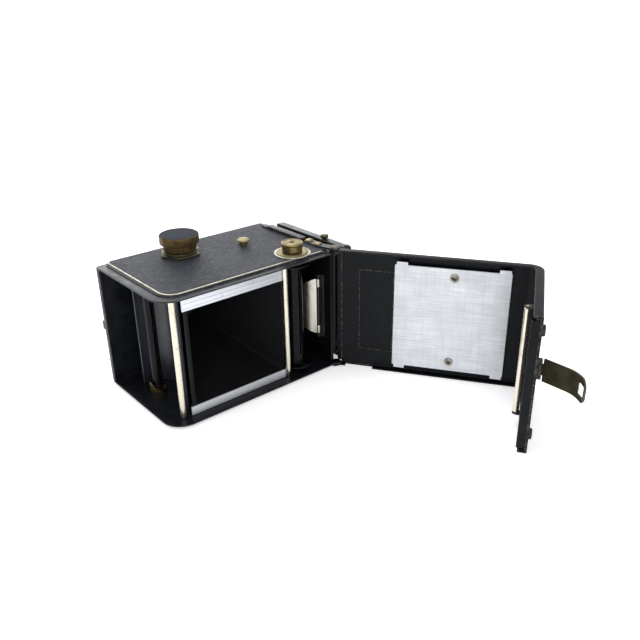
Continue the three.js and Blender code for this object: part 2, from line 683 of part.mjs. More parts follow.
function latchHinge() {
  const { x, y, low, high } = STRAP;
  const outer = FLAP_FACE - GLUE;
  const base = box(outer - 0.8, outer, y - 8, y - 1.5, low + 1, high - 1);
  const ear = (z0) => box(x - 1.3, outer, y - 2.2, y + 1.3, z0, z0 + 2);
  const pin = disc(STRAP, 0.6, low + 1.5, high - 1.5, 12);
  return join(base, ear(low + 1), ear(high - 3), pin);
}

// Latch strap lying closed along the flap, its slotted end turned in over the front edge.
function latchStrap() {
  const { x, y, low, high } = STRAP;
  const side = new THREE.Shape();
  side.moveTo(x - 0.4, y + 0.8).lineTo(x - 0.4, y + 15).quadraticCurveTo(x - 0.3, y + 22, x + 6, y + 28);
  side.lineTo(x + 5.2, y + 28.6).quadraticCurveTo(x - 1.2, y + 22.6, x - 1.2, y + 15);
  side.lineTo(x - 1.2, y + 0.8);
  const knuckle = disc(STRAP, 1.3, low + 3.3, high - 3.3, 16);
  const corner = (z0, z1) => box(x - 3, x + 1.5, y - 3, y + 3, z0, z1);
  const slot = box(x - 2, x + 9, y + 22.6, y + 27, MID - 3.4, MID + 3.4);
  const strap = cut(slab(side, low, high), corner(0, low + 3.3), corner(high - 3.3, HEIGHT));
  return cut(join(strap, knuckle), disc(STRAP, 0.7, 0, HEIGHT, 12), slot);
}

// Catch on the front wall: the strap's slot snaps over its low tongue.
function latchCatch() {
  const y = DEPTH + GLUE;
  const foot = box(1.4, 6.6, y, y + 1, MID - 5, MID + 5);
  const neck = box(0.4, 1.5, y, y + 1, MID - 2.6, MID + 2.6);
  const tongue = box(0.4, 1, y, y + 2.5, MID - 2.6, MID + 2.6);
  return join(foot, neck, tongue);
}

// ---------- assembly ----------
const camera = new THREE.Group();
const body = new THREE.Group();
body.position.set(-57, -37, 0);
camera.add(body);

const hinge = new THREE.Group();
hinge.position.set(HINGE.x, HINGE.y, 0);
hinge.rotation.z = THREE.MathUtils.degToRad(DOOR_OPEN);
body.add(hinge);
const door = new THREE.Group();
door.position.set(-HINGE.x, -HINGE.y, 0);
hinge.add(door);

const strapPivot = new THREE.Group();
strapPivot.position.set(STRAP.x, STRAP.y, 0);
strapPivot.rotation.z = THREE.MathUtils.degToRad(STRAP.open);
door.add(strapPivot);
const strap = new THREE.Group();
strap.position.set(-STRAP.x, -STRAP.y, 0);
strapPivot.add(strap);

function add(group, name, geometry, material) {
  const mesh = new THREE.Mesh(geometry, material.clone());
  mesh.name = name;
  group.add(mesh);
}

add(body, "side_plate_upper", sidePlateUpper(), BLACK);
add(body, "side_plate_lower", sidePlateLower(), BLACK);
add(body, "leather_upper", leatherUpper(), HIDE);
add(body, "leather_lower", leatherLower(), HIDE);
add(body, "trim_upper", trimUpper(), NICKEL);
add(body, "trim_lower", mirrored(trimUpper()), NICKEL);
add(body, "front_wall", frontWall(), BLACK);
add(body, "end_wall", endWall(), BLACK);
add(body, "light_box", lightBox(), BLACK);
add(body, "rail_upper", rail(GATE.high, ROOF_IN - GLUE), ALUMINIUM);
add(body, "rail_lower", rail(FLOOR_IN + GLUE, GATE.low), ALUMINIUM);
add(body, "supply_chamber_wall", supplyChamberWall(), BLACK);
add(body, "take_up_chamber_wall", takeUpChamberWall(), BLACK);
add(body, "supply_seat", supplySeat(), BRASS);
add(body, "supply_roller", roller(SUPPLY_ROLLER, FLOOR_IN - 0.4, ROOF_IN + 0.4), NICKEL);
add(body, "gate_roller", roller(GATE_ROLLER, FLOOR_IN - 0.4, ROOF_IN + 0.4), NICKEL);
add(body, "supply_spool", spool(SUPPLY_AXIS, SUPPLY_CORE), BLACK);
add(body, "take_up_spool", spool(TAKE_UP_AXIS, TAKE_UP_SPOOL), BLACK);
add(body, "wind_shaft", windShaft(), BRASS);
add(body, "wind_knob", windKnob(), BRASS);
add(body, "wind_flange", windFlange(), BRASS);
add(body, "wind_washer", windWasher(), NICKEL);
add(body, "focus_flange", focusFlange(), BRASS);
add(body, "focus_knob", focusKnob(), BRASS);
add(body, "focus_shaft", focusShaft(), BRASS);
add(body, "focus_rack", focusRack(), BRASS);
add(body, "lens_board", lensBoard(), BLACK);
add(body, "shutter_housing", shutterHousing(), BLACK);
add(body, "shutter_lever", shutterLever(), NICKEL);
add(body, "taking_lens", lens(TAKING, 8.2, DEPTH + 8), GLASS);
add(body, "viewing_mount", viewingMount(), BLACK);
add(body, "viewing_lens", lens(VIEWING, 7.8, DEPTH + 6), GLASS);
add(body, "mirror", mirrorGlass(), GLASS);
add(body, "focusing_screen", box(109.6, 111.4, 30, 68.5, 10.5, HEIGHT - 10.5), GLASS);
add(body, "hood_base", hoodBase(), BLACK);
add(body, "hood_lid", hoodLid(), BLACK);
add(body, "hood_pin", hoodPin(), WORN);
add(body, "lid_stud", lidStud(), BRASS);
add(body, "stay_bar", stayBar(), WORN);
add(body, "hinge_arm", hingeArm(), WORN);
RIVETS.forEach((at, i) => add(body, `arm_rivet_${i + 1}`, rivet(at), NICKEL));
add(body, "hinge_pin_upper", hingePinUpper(), NICKEL);
add(body, "hinge_pin_lower", hingePinLower(), NICKEL);
add(body, "release_button", releaseButton(), BRASS);
add(body, "roll_plate_bracket", rollPlateBracket(), BLACK);
add(body, "roll_plate", rollPlate(), NICKEL);
add(body, "latch_catch", latchCatch(), WORN);

add(door, "door_shell", doorShell(), BLACK);
add(door, "pressure_plate", pressurePlate(), ALUMINIUM);
PLATE_SCREWS.forEach((at, i) => add(door, `plate_screw_${i + 1}`, plateScrew(at), ALUMINIUM));
add(door, "flap_roller_bracket", flapRollerBracket(), WORN);
add(door, "flap_roller", flapRoller(), NICKEL);
[9, HEIGHT - 9].forEach((z, i) => add(door, `foot_${i + 1}`, foot(63.5, z), RUBBER));
add(door, "latch_hinge", latchHinge(), WORN);
add(strap, "latch_strap", latchStrap(), WORN);

export default camera;
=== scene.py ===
"""Looks of a roll-film box camera that lies on its side with its back open.

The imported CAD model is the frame. Pieces are drawn in millimetres in the camera's own corner
frame: X from the open end to the hinge and finder end, Y from the open back to the lenses, Z up
to the side with the knobs. The door and its latch strap are drawn closed, and turned to where the
frame holds them.
"""
import json
from math import acos, asin, cos, degrees, pi, radians, sin

import bmesh
import bpy
from mathutils import Matrix, Vector, geometry


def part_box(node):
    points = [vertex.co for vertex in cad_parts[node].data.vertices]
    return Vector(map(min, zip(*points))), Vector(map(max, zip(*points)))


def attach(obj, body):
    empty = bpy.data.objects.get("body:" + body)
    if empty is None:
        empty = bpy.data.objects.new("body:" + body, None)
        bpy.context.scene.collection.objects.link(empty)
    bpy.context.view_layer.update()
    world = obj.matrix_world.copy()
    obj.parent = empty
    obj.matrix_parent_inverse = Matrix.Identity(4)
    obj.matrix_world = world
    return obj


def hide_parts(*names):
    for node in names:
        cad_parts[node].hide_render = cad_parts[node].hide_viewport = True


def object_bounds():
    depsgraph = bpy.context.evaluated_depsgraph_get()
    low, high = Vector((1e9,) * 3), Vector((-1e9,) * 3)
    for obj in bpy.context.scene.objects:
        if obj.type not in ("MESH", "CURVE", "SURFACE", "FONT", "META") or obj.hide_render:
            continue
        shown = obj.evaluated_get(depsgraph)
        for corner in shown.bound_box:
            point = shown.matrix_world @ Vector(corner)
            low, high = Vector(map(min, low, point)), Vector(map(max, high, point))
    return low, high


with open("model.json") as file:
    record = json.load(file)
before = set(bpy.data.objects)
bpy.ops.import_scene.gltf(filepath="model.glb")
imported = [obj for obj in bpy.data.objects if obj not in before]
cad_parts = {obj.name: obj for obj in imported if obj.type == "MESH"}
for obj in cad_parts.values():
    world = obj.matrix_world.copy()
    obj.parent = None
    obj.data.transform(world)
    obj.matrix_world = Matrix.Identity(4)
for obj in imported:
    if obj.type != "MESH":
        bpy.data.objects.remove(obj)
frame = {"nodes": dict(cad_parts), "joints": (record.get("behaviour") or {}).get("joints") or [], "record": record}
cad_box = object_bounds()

# ---------- driving dimensions, in millimetres ----------
MM = 0.001
LENGTH, DEPTH, HEIGHT = 113.5, 73.0, 75.25
MID = HEIGHT / 2
SHEET = 1.0  # door sheet
LEATHER = 0.5
LEDGE = 1.3  # ledge level, from the outside
FLOOR_IN = LEDGE + 0.8  # inner faces of the side plates
ROOF_IN = HEIGHT - FLOOR_IN
GLUE = 0.05  # gap between faces that are glued or riveted together
WALL_LOW, WALL_HIGH = FLOOR_IN + GLUE, ROOF_IN - GLUE  # ends of what stands between the side plates
FIELD_LEFT, FIELD_BACK = 5, 3.9  # edges of the raised field on each side
HINGE_LUG = 3.2  # radius of the side plates' lugs round the hinge pin
TRIM = {"left": 6.0, "back": 4.6, "width": 1.1, "radius": 9.0, "end": 107.0}
FRONT_WALL, END_WALL = 70.9, 111.5  # inner faces
GATE_Y = 6.9  # film plane
GATE_LEFT, GATE_RIGHT, GATE_LOW, GATE_HIGH = 18.6, 78.6, 7.0, 63.6
RAIL_LEFT, RAIL_RIGHT = 15.3, 79.2
SPOOL_LOW, SPOOL_HIGH, SPOOL_RIM, SPOOL_FLANGE, SPOOL_CORE = 5.2, 70, 1, 10.6, 5.2
SPOOL_SLOT = 12  # distance of a spool's slot from either side
LEAF_LOW = 20  # lower end of the roll plate
BOARD = {"low": 10, "left": 22, "right": 109, "gap": 0.4, "thick": 2.5}
LID = {"back": 121.2, "front": 126.6, "end": 66.3, "low": 0.8, "high": 74.6, "pin": (123.8, 2.4)}
DOOR_FACE = -1.3  # outer face of the closed door
DOOR_LOW, DOOR_HIGH = 0.15, HEIGHT - 0.15
SKIRT = 4.8  # width of the door's turned-in skirts
BEND = 8.0  # bend between the door's back and flap
FLAP_END = 68.2
FLAP_ROLLER = (5.8, 41.7)
LATCH = (-2.9, 48.7)  # axis of the latch strap
STRAP_LOW, STRAP_HIGH = 31.5, 44.5

JOINTS = {joint["name"]: joint for joint in frame["joints"]}


def low(node):
    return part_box(node)[0] / MM


def high(node):
    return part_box(node)[1] / MM


# ---------- the three drawing frames ----------
CORNER = Vector((high("end_wall").x - LENGTH, high("front_wall").y - DEPTH, 0))
BODY = Matrix.Scale(MM, 4) @ Matrix.Translation(CORNER)


def turned_about(place, joint):
    """The drawing frame of a part that is drawn at its joint's lower limit and stands at rest."""
    pivot = Matrix.Translation(place.inverted() @ Vector(joint["pos_m"]))
    turn = Matrix.Rotation(-radians(joint["range_deg"][0]), 4, "Z")
    return place @ pivot @ turn @ pivot.inverted()


DOOR = turned_about(BODY, JOINTS["door_swing"])
STRAP = turned_about(DOOR, JOINTS["latch_swing"])


def centre(node):
    """Centre of a body node, in the corner frame."""
    return (low(node) + high(node)) / 2 - CORNER


def spin_centre(node):
    return tuple(centre(node).xy)


HINGE = spin_centre("hinge_pin_upper")
TAKE_UP = spin_centre("take_up_spool")
SUPPLY = spin_centre("supply_spool")
FOCUS = spin_centre("focus_shaft")
BUTTON = spin_centre("release_button")
TAKING = (MID, centre("taking_lens").x)  # lens axes as (z, x)
VIEWING = (MID, centre("viewing_lens").x)
RIVETS = ("arm_rivet_1", "arm_rivet_2")
SCREWS = ("plate_screw_1", "plate_screw_2")

BODIES = frame["record"]["behaviour"]["bodies"]
NODE_BODY = {node: body for body, nodes in BODIES.items() for node in nodes}


def show(name, data):
    """A new object in the scene."""
    shape = bpy.data.objects.new(name, data)
    bpy.context.scene.collection.objects.link(shape)
    return shape


# ---------- camera ----------
CAMERA_AT = (-0.20097, -0.32759, 0.21294)
CAMERA_TURN = (40.09, 25.08, 0.82)  # azimuth, pitch down and roll, in degrees
FOCAL_LENGTH, SENSOR_WIDTH = 40.19, 36


def make_camera():
    azimuth, pitch, roll = (radians(angle) for angle in CAMERA_TURN)
    forward = Vector((
        sin(azimuth) * cos(pitch),
        cos(azimuth) * cos(pitch),
        -sin(pitch),
    ))
    level = Vector((cos(azimuth), -sin(azimuth), 0))
    down = forward.cross(level)
    right = cos(roll) * level + sin(roll) * down
    below = cos(roll) * down - sin(roll) * level
    data = bpy.data.cameras.new("camera")
    data.sensor_width = SENSOR_WIDTH
    data.lens = FOCAL_LENGTH
    data.clip_start = 0.01
    camera = show("camera", data)
    turn = Matrix((right, -below, -forward)).transposed().to_4x4()
    camera.matrix_world = Matrix.Translation(CAMERA_AT) @ turn
    bpy.context.scene.camera = camera


# ---------- mesh helpers ----------
STRAIGHT = radians(172)  # corners flatter than this stay as they are
SHARP = radians(34)  # edges with more turn than this are shaded sharp
MERGE = 1e-5
ON_AXIS = 1e-6
ALONG_X = Matrix(((0, 0, 1, 0), (1, 0, 0, 0), (0, 1, 0, 0), (0, 0, 0, 1)))  # outlines are (y, z)
ALONG_Y = Matrix(((0, 1, 0, 0), (0, 0, 1, 0), (1, 0, 0, 0), (0, 0, 0, 1)))  # outlines are (z, x)


def polar(centre, radius, turn):
    angle = radians(turn)
    return centre[0] + radius * cos(angle), centre[1] + radius * sin(angle)


def arc(centre, radius, start, end, steps=12):
    """Points on an arc, from start to end in degrees."""
    return [polar(centre, radius, start + (end - start) * i / steps) for i in range(steps + 1)]


def curve(a, b, c, steps):
    """Points on the curve that leaves a towards b and ends in c."""
    a, b, c = Vector(a), Vector(b), Vector(c)
    places = [i / steps for i in range(steps + 1)]
    return [tuple((1 - t) ** 2 * a + 2 * t * (1 - t) * b + t * t * c) for t in places]


def circle(centre, radius, sides=64):
    return arc(centre, radius, 0, 360, sides)[:-1]


def hole(centre, radius, sides=48):
    return circle(centre, radius, sides)[::-1]


def rectangle(x0, y0, x1, y1):
    return [(x0, y0), (x1, y0), (x1, y1), (x0, y1)]


def soften(points, radius, steps=5, closed=True):
    """Rounds the corners of an outline or open profile, except almost straight ones."""
    result = []
    count = len(points)
    for i, point in enumerate(points):
        if not closed and i in (0, count - 1):
            result.append(point)
            continue
        corner = Vector(point)
        before, after = Vector(points[i - 1]) - corner, Vector(points[(i + 1) % count]) - corner
        if before.angle(after) > STRAIGHT:
            result.append(point)
            continue
        start = corner + before.normalized() * min(radius, 0.45 * before.length)
        end = corner + after.normalized() * min(radius, 0.45 * after.length)
        result += curve(start, corner, end, steps)
    return result


def panel(x0, y0, x1, y1, radii, notch=0.0):
    """Rectangle with its own corner radii, and an optional notch round the hinge axis."""
    a, b, c, d = radii
    points = arc((x0 + a, y0 + a), a, 180, 270)
    if notch:
        first = degrees(pi - asin((y0 - HINGE[1]) / notch))
        last = degrees(acos((x1 - HINGE[0]) / notch))
        points += arc(HINGE, notch, first, last)
    else:
        points += arc((x1 - b, y0 + b), b, -90, 0, 6)
    points += arc((x1 - c, y1 - c), c, 0, 90, 6)
    points += arc((x0 + d, y1 - d), d, 90, 180, 6)
    return points


def inset(loop, distance):
    """The loop moved to its left by distance, so an outline shrinks and a hole grows."""
    if not distance:
        return loop
    moved = []
    for i, point in enumerate(loop):
        before = (Vector(point) - Vector(loop[i - 1])).normalized()
        after = (Vector(loop[(i + 1) % len(loop)]) - Vector(point)).normalized()
        n1, n2 = Vector((-before.y, before.x)), Vector((-after.y, after.x))
        moved.append(tuple(Vector(point) + distance * (n1 + n2) / (1 + n1.dot(n2))))
    return moved


def mesh_of(verts, faces):
    mesh = bpy.data.meshes.new("shape")
    mesh.from_pydata(verts, [], faces)
    shape = bmesh.new()
    shape.from_mesh(mesh)
    bmesh.ops.remove_doubles(shape, verts=shape.verts, dist=MERGE)
    bmesh.ops.recalc_face_normals(shape, faces=shape.faces)
    shape.to_mesh(mesh)
    shape.free()
    return mesh


def band(a, b, count):
    """Faces between two closed loops whose vertices start at a and at b."""
    return [(a + i, a + (i + 1) % count, b + (i + 1) % count, b + i) for i in range(count)]


def stack(outline, levels, holes=()):
    """Closed body over an outline and holes; each level gives (inset, height)."""
    verts, faces, first, last = [], [], [], []
    for loop in (outline, *holes):
        start, count = len(verts), len(loop)
        for distance, z in levels:
            verts += [(x, y, z) for x, y in inset(loop, distance)]
        for level in range(len(levels) - 1):
            a = start + level * count
            faces += band(a, a + count, count)
        first.append(list(range(start, start + count)))
        last.append(list(range(start + (len(levels) - 1) * count, start + len(levels) * count)))
    for rings in (first, last):
        if len(rings) == 1:
            faces.append(rings[0])
            continue
        order = [i for ring in rings for i in ring]
        corners = [[Vector(verts[i]) for i in ring] for ring in rings]
        for triangle in geometry.tessellate_polygon(corners):
            faces.append([order[i] for i in triangle])
    return mesh_of(verts, faces)


def rounded(z0, z1, radius, steps=4):
    """Levels of a slab whose edges are rounded."""
    turn = [pi / 2 * k / steps for k in range(steps + 1)]
    lower = [(radius * (1 - sin(a)), z0 + radius * (1 - cos(a))) for a in turn]
    return lower + [(distance, z0 + z1 - z) for distance, z in reversed(lower)]


def plate(outline, z0, z1, radius=0.2, holes=()):
    return stack(outline, rounded(z0, z1, radius), holes)


def block(x0, x1, y0, y1, z0, z1, radius=0.2):
    return plate(soften(rectangle(x0, y0, x1, y1), radius, 3), z0, z1, radius)


def lathe(profile, at=(0, 0), segments=96):
    """Body turned about a line parallel to Z; its profile meets the axis or is a ring's."""
    verts, faces, rows = [], [], []
    for radius, z in profile:
        if radius < ON_AXIS:
            rows.append([len(verts)] * segments)
            verts.append((at[0], at[1], z))
            continue
        rows.append(list(range(len(verts), len(verts) + segments)))
        verts += [(x, y, z) for x, y in circle(at, radius, segments)]
    if profile[0][0] > ON_AXIS:
        rows.append(rows[0])
    for row, above in zip(rows, rows[1:]):
        for i in range(segments):
            j = (i + 1) % segments
            corners = list(dict.fromkeys((row[i], row[j], above[j], above[i])))
            if len(corners) > 2:
                faces.append(corners)
    return mesh_of(verts, faces)


def turned(profile, at, radius=0.15, segments=96, base=0):
    """Lathe body with softened corners; the profile's heights start at base."""
    profile = [(r, base + height) for r, height in profile]
    return lathe(soften(profile, radius, 3, profile[0][0] > ON_AXIS), at, segments)


def sweep(section, path):
    """Moves a closed (inward, z) section along a path of (point, inward normal)."""
    count = len(section)
    verts = [(p[0] + n[0] * w, p[1] + n[1] * w, z) for p, n in path for w, z in section]
    faces = [tuple(range(count)), tuple(range(len(verts) - count, len(verts)))]
    for station in range(len(path) - 1):
        a = station * count
        faces += band(a, a + count, count)
    return mesh_of(verts, faces)


def loft(loops):
    """Closed shell through loops of 3-D points that have equal counts, back to the first loop."""
    count = len(loops[0])
    verts = [point for loop in loops for point in loop]
    faces = []
    for k in range(len(loops)):
        a, b = k * count, ((k + 1) % len(loops)) * count
        faces += band(a, b, count)
    return mesh_of(verts, faces)


def upright_at(y):
    """Stands an (x, z) outline up, with its base at y and its thickness towards the back."""
    return Matrix.Translation((0, y, 0)) @ Matrix.Rotation(pi / 2, 4, "X")


def moved(mesh, matrix):
    mesh.transform(matrix)
    return mesh


def together(*meshes):
    """One mesh made of several closed shells."""
    shape = bmesh.new()
    for mesh in meshes:
        shape.from_mesh(mesh)
    whole = bpy.data.meshes.new("shape")
    shape.to_mesh(whole)
    shape.free()
    return whole


def carved(mesh, *tools, operation="DIFFERENCE"):
    """The mesh after Boolean operations with the tool meshes."""
    host = show("host", mesh)
    helpers = [show("tool", tool) for tool in tools]
    for helper in helpers:
        modifier = host.modifiers.new("carve", "BOOLEAN")
        modifier.object = helper
        modifier.operation = operation
        modifier.solver = "MANIFOLD"
    graph = bpy.context.evaluated_depsgraph_get()
    result = bpy.data.meshes.new_from_object(host.evaluated_get(graph))
    for item in (host, *helpers):
        bpy.data.objects.remove(item)
    return result


def piece(node, mesh, look, place=None):
    """Adds a finished piece that stands for its CAD node, and rides on its body."""
    mesh.transform(place or BODY)
    mesh.shade_smooth()
    mesh.set_sharp_from_angle(angle=SHARP)
    mesh.materials.clear()
    mesh.materials.append(look)
    shape = show(node + ".look", mesh)
    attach(shape, NODE_BODY[node])
    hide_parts(node)


# ---------- node material helpers ----------
def rgb(code):
    """Linear colour of a hexadecimal sRGB code."""
    parts = [int(code[i:i + 2], 16) / 255 for i in (0, 2, 4)]
    linear = [c / 12.92 if c <= 0.04045 else ((c + 0.055) / 1.055) ** 2.4 for c in parts]
    return (*linear, 1)


class Look:
    """A procedural material that is put together from a few node recipes."""

    def __init__(self, name, metallic=0.0, **sockets):
        self.material = bpy.data.materials.new(name)
        self.material.use_nodes = True
        self.tree = self.material.node_tree
        self.shader = self.tree.nodes["Principled BSDF"]
        self.shader.inputs["Roughness"].default_value = 0.4
        self.shader.inputs["Metallic"].default_value = metallic
        for socket, value in sockets.items():
            self.shader.inputs[socket.replace("_", " ")].default_value = value
        self.coordinates = self.add("ShaderNodeTexCoord").outputs["Object"]

    def add(self, kind, inputs=None, **settings):
        """A node with its settings; an input is a plain value or another node's output."""
        node = self.tree.nodes.new(kind)
        for key, value in settings.items():
            setattr(node, key, value)
        for key, value in (inputs or {}).items():
            if isinstance(value, (int, float, tuple)):
                node.inputs[key].default_value = value
            else:
                self.tree.links.new(value, node.inputs[key])
        return node

    def noise(self, scale, detail=4, roughness=0.55, stretch=None):
        where = self.coordinates
        if stretch:
            mapping = self.add("ShaderNodeMapping", {"Scale": stretch, "Vector": where})
            where = mapping.outputs["Vector"]
        inputs = {"Scale": scale, "Detail": detail, "Roughness": roughness, "Vector": where}
        return self.add("ShaderNodeTexNoise", inputs).outputs["Fac"]

    def ramp(self, source, start, end, first=0.0, last=1.0):
        """Maps source from start..end to first..last, clamped."""
        limits = {"From Min": start, "From Max": end, "To Min": first, "To Max": last}
        return self.add("ShaderNodeMapRange", {**limits, "Value": source}).outputs["Result"]

    def math(self, operation, a, b):
        return self.add("ShaderNodeMath", {0: a, 1: b}, operation=operation).outputs["Value"]

    def times(self, a, b):
        return self.math("MULTIPLY", a, b)

    def plus(self, a, b):
        return self.math("ADD", a, b)

    def mix(self, factor, a, b):
        inputs = {"Factor": factor, 6: a, 7: b}  # 6, 7 and 2 are the node's colour sockets
        return self.add("ShaderNodeMix", inputs, data_type="RGBA").outputs[2]

    def edges(self, radius_mm):
        """About 1 on sharp outer and inner edges and 0 on flat areas."""
        bevel = self.add("ShaderNodeBevel", {"Radius": radius_mm * MM}, samples=4)
        true_normal = self.add("ShaderNodeNewGeometry").outputs["Normal"]
        inputs = {0: bevel.outputs["Normal"], 1: true_normal}
        dot = self.add("ShaderNodeVectorMath", inputs, operation="DOT_PRODUCT")
        return self.ramp(dot.outputs["Value"], 0.995, 0.86)

    def link(self, source, socket):
        self.tree.links.new(source, self.shader.inputs[socket])

    def colour(self, source):
        self.link(source, "Base Color")

    def roughness(self, source):
        self.link(source, "Roughness")

    def metal(self, source):
        self.link(source, "Metallic")

    def bump(self, height, strength, distance_mm):
        inputs = {"Strength": strength, "Distance": distance_mm * MM, "Height": height}
        self.link(self.add("ShaderNodeBump", inputs).outputs["Normal"], "Normal")


def painted(name, paint, worn, wear=0.5, shine=0.25, radius=0.5, dust="2b2c30", gloss=0.4):
    """Black lacquer with soft orange peel, dusty patches, and bare metal on the edges, whose light colour is also
    a painted edge highlight.
    """
    look = Look(name, Specular_IOR_Level=gloss)
    patches = look.noise(130, 5, 0.6)
    fine = look.noise(2400, 3, 0.6)
    coat = look.mix(look.ramp(patches, 0.35, 0.75), rgb(paint), rgb(dust))
    break_up = look.ramp(look.noise(700, 5, 0.65), 0.42, 0.62)
    # the light colour on the edges is bare metal and painted edge highlight in one
    edge_wear_and_highlight = look.times(look.edges(radius), break_up)
    rubbed = look.ramp(look.noise(45, 4, 0.6), 0.62, 0.8, 0, 0.35)
    chips = look.ramp(look.noise(2600, 2, 0.5), 0.74, 0.78, 0, 0.5)
    amount = look.math("MAXIMUM", look.times(edge_wear_and_highlight, wear), look.times(chips, rubbed))
    look.colour(look.mix(amount, coat, rgb(worn)))
    look.metal(look.times(amount, 0.8))
    look.roughness(look.ramp(patches, 0.3, 0.8, shine, shine + 0.2))
    look.bump(look.plus(look.times(fine, 0.4), patches), 0.18, 0.05)
    return look.material


def leather(name):
    """Pebbled leather: small rounded grains with painted shade in the creases between them, and a grey painted
    sheen, partly rubbed wear, on the grain tops.
    """
    look = Look(name, Specular_IOR_Level=0.3)
    inputs = {"Scale": 1250, "Vector": look.coordinates}
    cells = look.add("ShaderNodeTexVoronoi", inputs, feature="DISTANCE_TO_EDGE")
    crease = cells.outputs["Distance"]
    soft = look.noise(1300, 3, 0.6)
    open_crease = look.ramp(look.plus(crease, look.times(soft, 0.3)), 0.14, 0.34)
    height = look.plus(open_crease, look.times(soft, 0.7))
    tint = look.mix(look.ramp(look.noise(60, 5, 0.6), 0.3, 0.75), rgb("31343d"), rgb("414552"))
    # painted shade: the creases between the grains are darkened to near black
    shade = look.mix(open_crease, rgb("0c0d0f"), tint)
    # painted sheen, partly rubbed wear: the grain tops are lightened to grey in random patches
    rub_and_painted_sheen = look.times(look.ramp(look.noise(420, 5, 0.7), 0.5, 0.72, 0, 0.8), open_crease)
    look.colour(look.mix(rub_and_painted_sheen, shade, rgb("74767f")))
    look.roughness(look.ramp(soft, 0.3, 0.7, 0.38, 0.62))
    look.bump(height, 1.0, 0.3)
    return look.material


def plated(name, bright, tarnish, amount=0.5, shine=0.25, brushed=None, metallic=1.0, groove=0.0):
    """Bare or plated metal, tarnished in patches and along edges, and brushed if asked."""
    look = Look(name, metallic=metallic)
    patches = look.noise(160, 5, 0.65)
    spots = look.noise(1300, 3, 0.6)
    stain = look.ramp(look.plus(look.times(patches, 0.75), look.times(spots, 0.25)),
                      0.62 - 0.3 * amount, 0.82 - 0.3 * amount)
    edge = look.times(look.edges(0.35), 0.5 * amount)
    look.colour(look.mix(look.math("MAXIMUM", stain, edge), rgb(bright), rgb(tarnish)))
    if brushed:
        lines = look.noise(1, 6, 0.7, stretch=brushed)
        look.roughness(look.plus(look.ramp(lines, 0.3, 0.7, shine - 0.08, shine + 0.12),
                                 look.times(stain, 0.2)))
        look.bump(lines, 0.25 + groove, 0.03)
    else:
        look.roughness(look.ramp(patches, 0.3, 0.8, shine, shine + 0.25))
        look.bump(look.plus(patches, look.times(spots, 0.5)), 0.2, 0.05)
    return look.material


def knob_metal(name):
    """Brown lacquered brass with a dark blue-grey top face, a painted reflection on the faces that point up."""
    look = Look(name, metallic=0.7, Specular_IOR_Level=0.12)
    patches = look.noise(220, 5, 0.65)
    side = look.mix(look.ramp(patches, 0.35, 0.7), rgb("6b5a3a"), rgb("463b27"))
    # painted reflection: faces that point up are coloured dark blue-grey and lose their metal
    top = look.mix(look.ramp(patches, 0.35, 0.75), rgb("1e2129"), rgb("333944"))
    normal = look.add("ShaderNodeNewGeometry").outputs["Normal"]
    facing = look.add("ShaderNodeSeparateXYZ", {"Vector": normal})
    flat = look.ramp(facing.outputs["Z"], 0.75, 0.95)
    look.metal(look.ramp(facing.outputs["Z"], 0.75, 0.95, 0.7, 0))
    worn = look.times(look.edges(0.4), look.ramp(look.noise(900, 4), 0.4, 0.6, 0, 0.8))
    look.colour(look.mix(worn, look.mix(flat, side, top), rgb("a39673")))
    shine = look.ramp(patches, 0.3, 0.8, 0.38, 0.55)
    look.roughness(look.plus(shine, look.times(flat, 0.25)))
    look.bump(patches, 0.2, 0.05)
    return look.material


def brushed_plate(name):
    """Pale brushed aluminium: fine lines, faint handling marks across them, a grey rim."""
    look = Look(name, metallic=0.5)
    lines = look.noise(1, 6, 0.7, stretch=(45, 45, 1300))
    across = look.noise(1, 4, 0.6, stretch=(520, 520, 50))
    clouds = look.noise(70, 4, 0.55)
    tone = look.plus(look.times(across, 0.35), look.times(clouds, 0.65))
    face = look.mix(look.ramp(tone, 0.35, 0.68), rgb("e4e6ea"), rgb("c9ccd1"))
    streaked = look.mix(look.ramp(lines, 0.4, 0.66, 0, 0.5), face, rgb("adb0b6"))
    look.colour(look.mix(look.times(look.edges(0.5), 0.8), streaked, rgb("7f7e7a")))
    look.roughness(look.ramp(lines, 0.3, 0.7, 0.38, 0.54))
    look.bump(look.plus(lines, look.times(across, 0.3)), 0.3, 0.02)
    return look.material


def rubber(name):
    look = Look(name, Specular_IOR_Level=0.4)
    dusty = look.noise(350, 5, 0.65)
    look.colour(look.mix(look.ramp(dusty, 0.4, 0.75), rgb("17171a"), rgb("4a4a4c")))
    look.roughness(look.ramp(dusty, 0.3, 0.8, 0.6, 0.85))
    look.bump(look.noise(1800, 3), 0.3, 0.05)
    return look.material


def glass(name, tint, roughness, transmission=1.0):
    look = Look(name, Transmission_Weight=transmission, IOR=1.5)
    smear = look.noise(120, 4, 0.6)
    look.colour(look.mix(look.ramp(smear, 0.35, 0.75), rgb(tint), rgb("ffffff")))
    look.roughness(look.ramp(smear, 0.3, 0.8, roughness, roughness + 0.06))
    return look.material


def white_floor(name):
    """Plain pale floor, lit from within a little, like a light table."""
    look = Look(name, Specular_IOR_Level=0.1)
    tone = look.mix(look.noise(8, 3), rgb("f8f9fa"), rgb("fbfbfb"))
    look.colour(tone)
    look.link(tone, "Emission Color")
    look.shader.inputs["Emission Strength"].default_value = 0.5
    look.roughness(look.ramp(look.noise(400, 2), 0.3, 0.7, 0.8, 0.9))
    return look.material
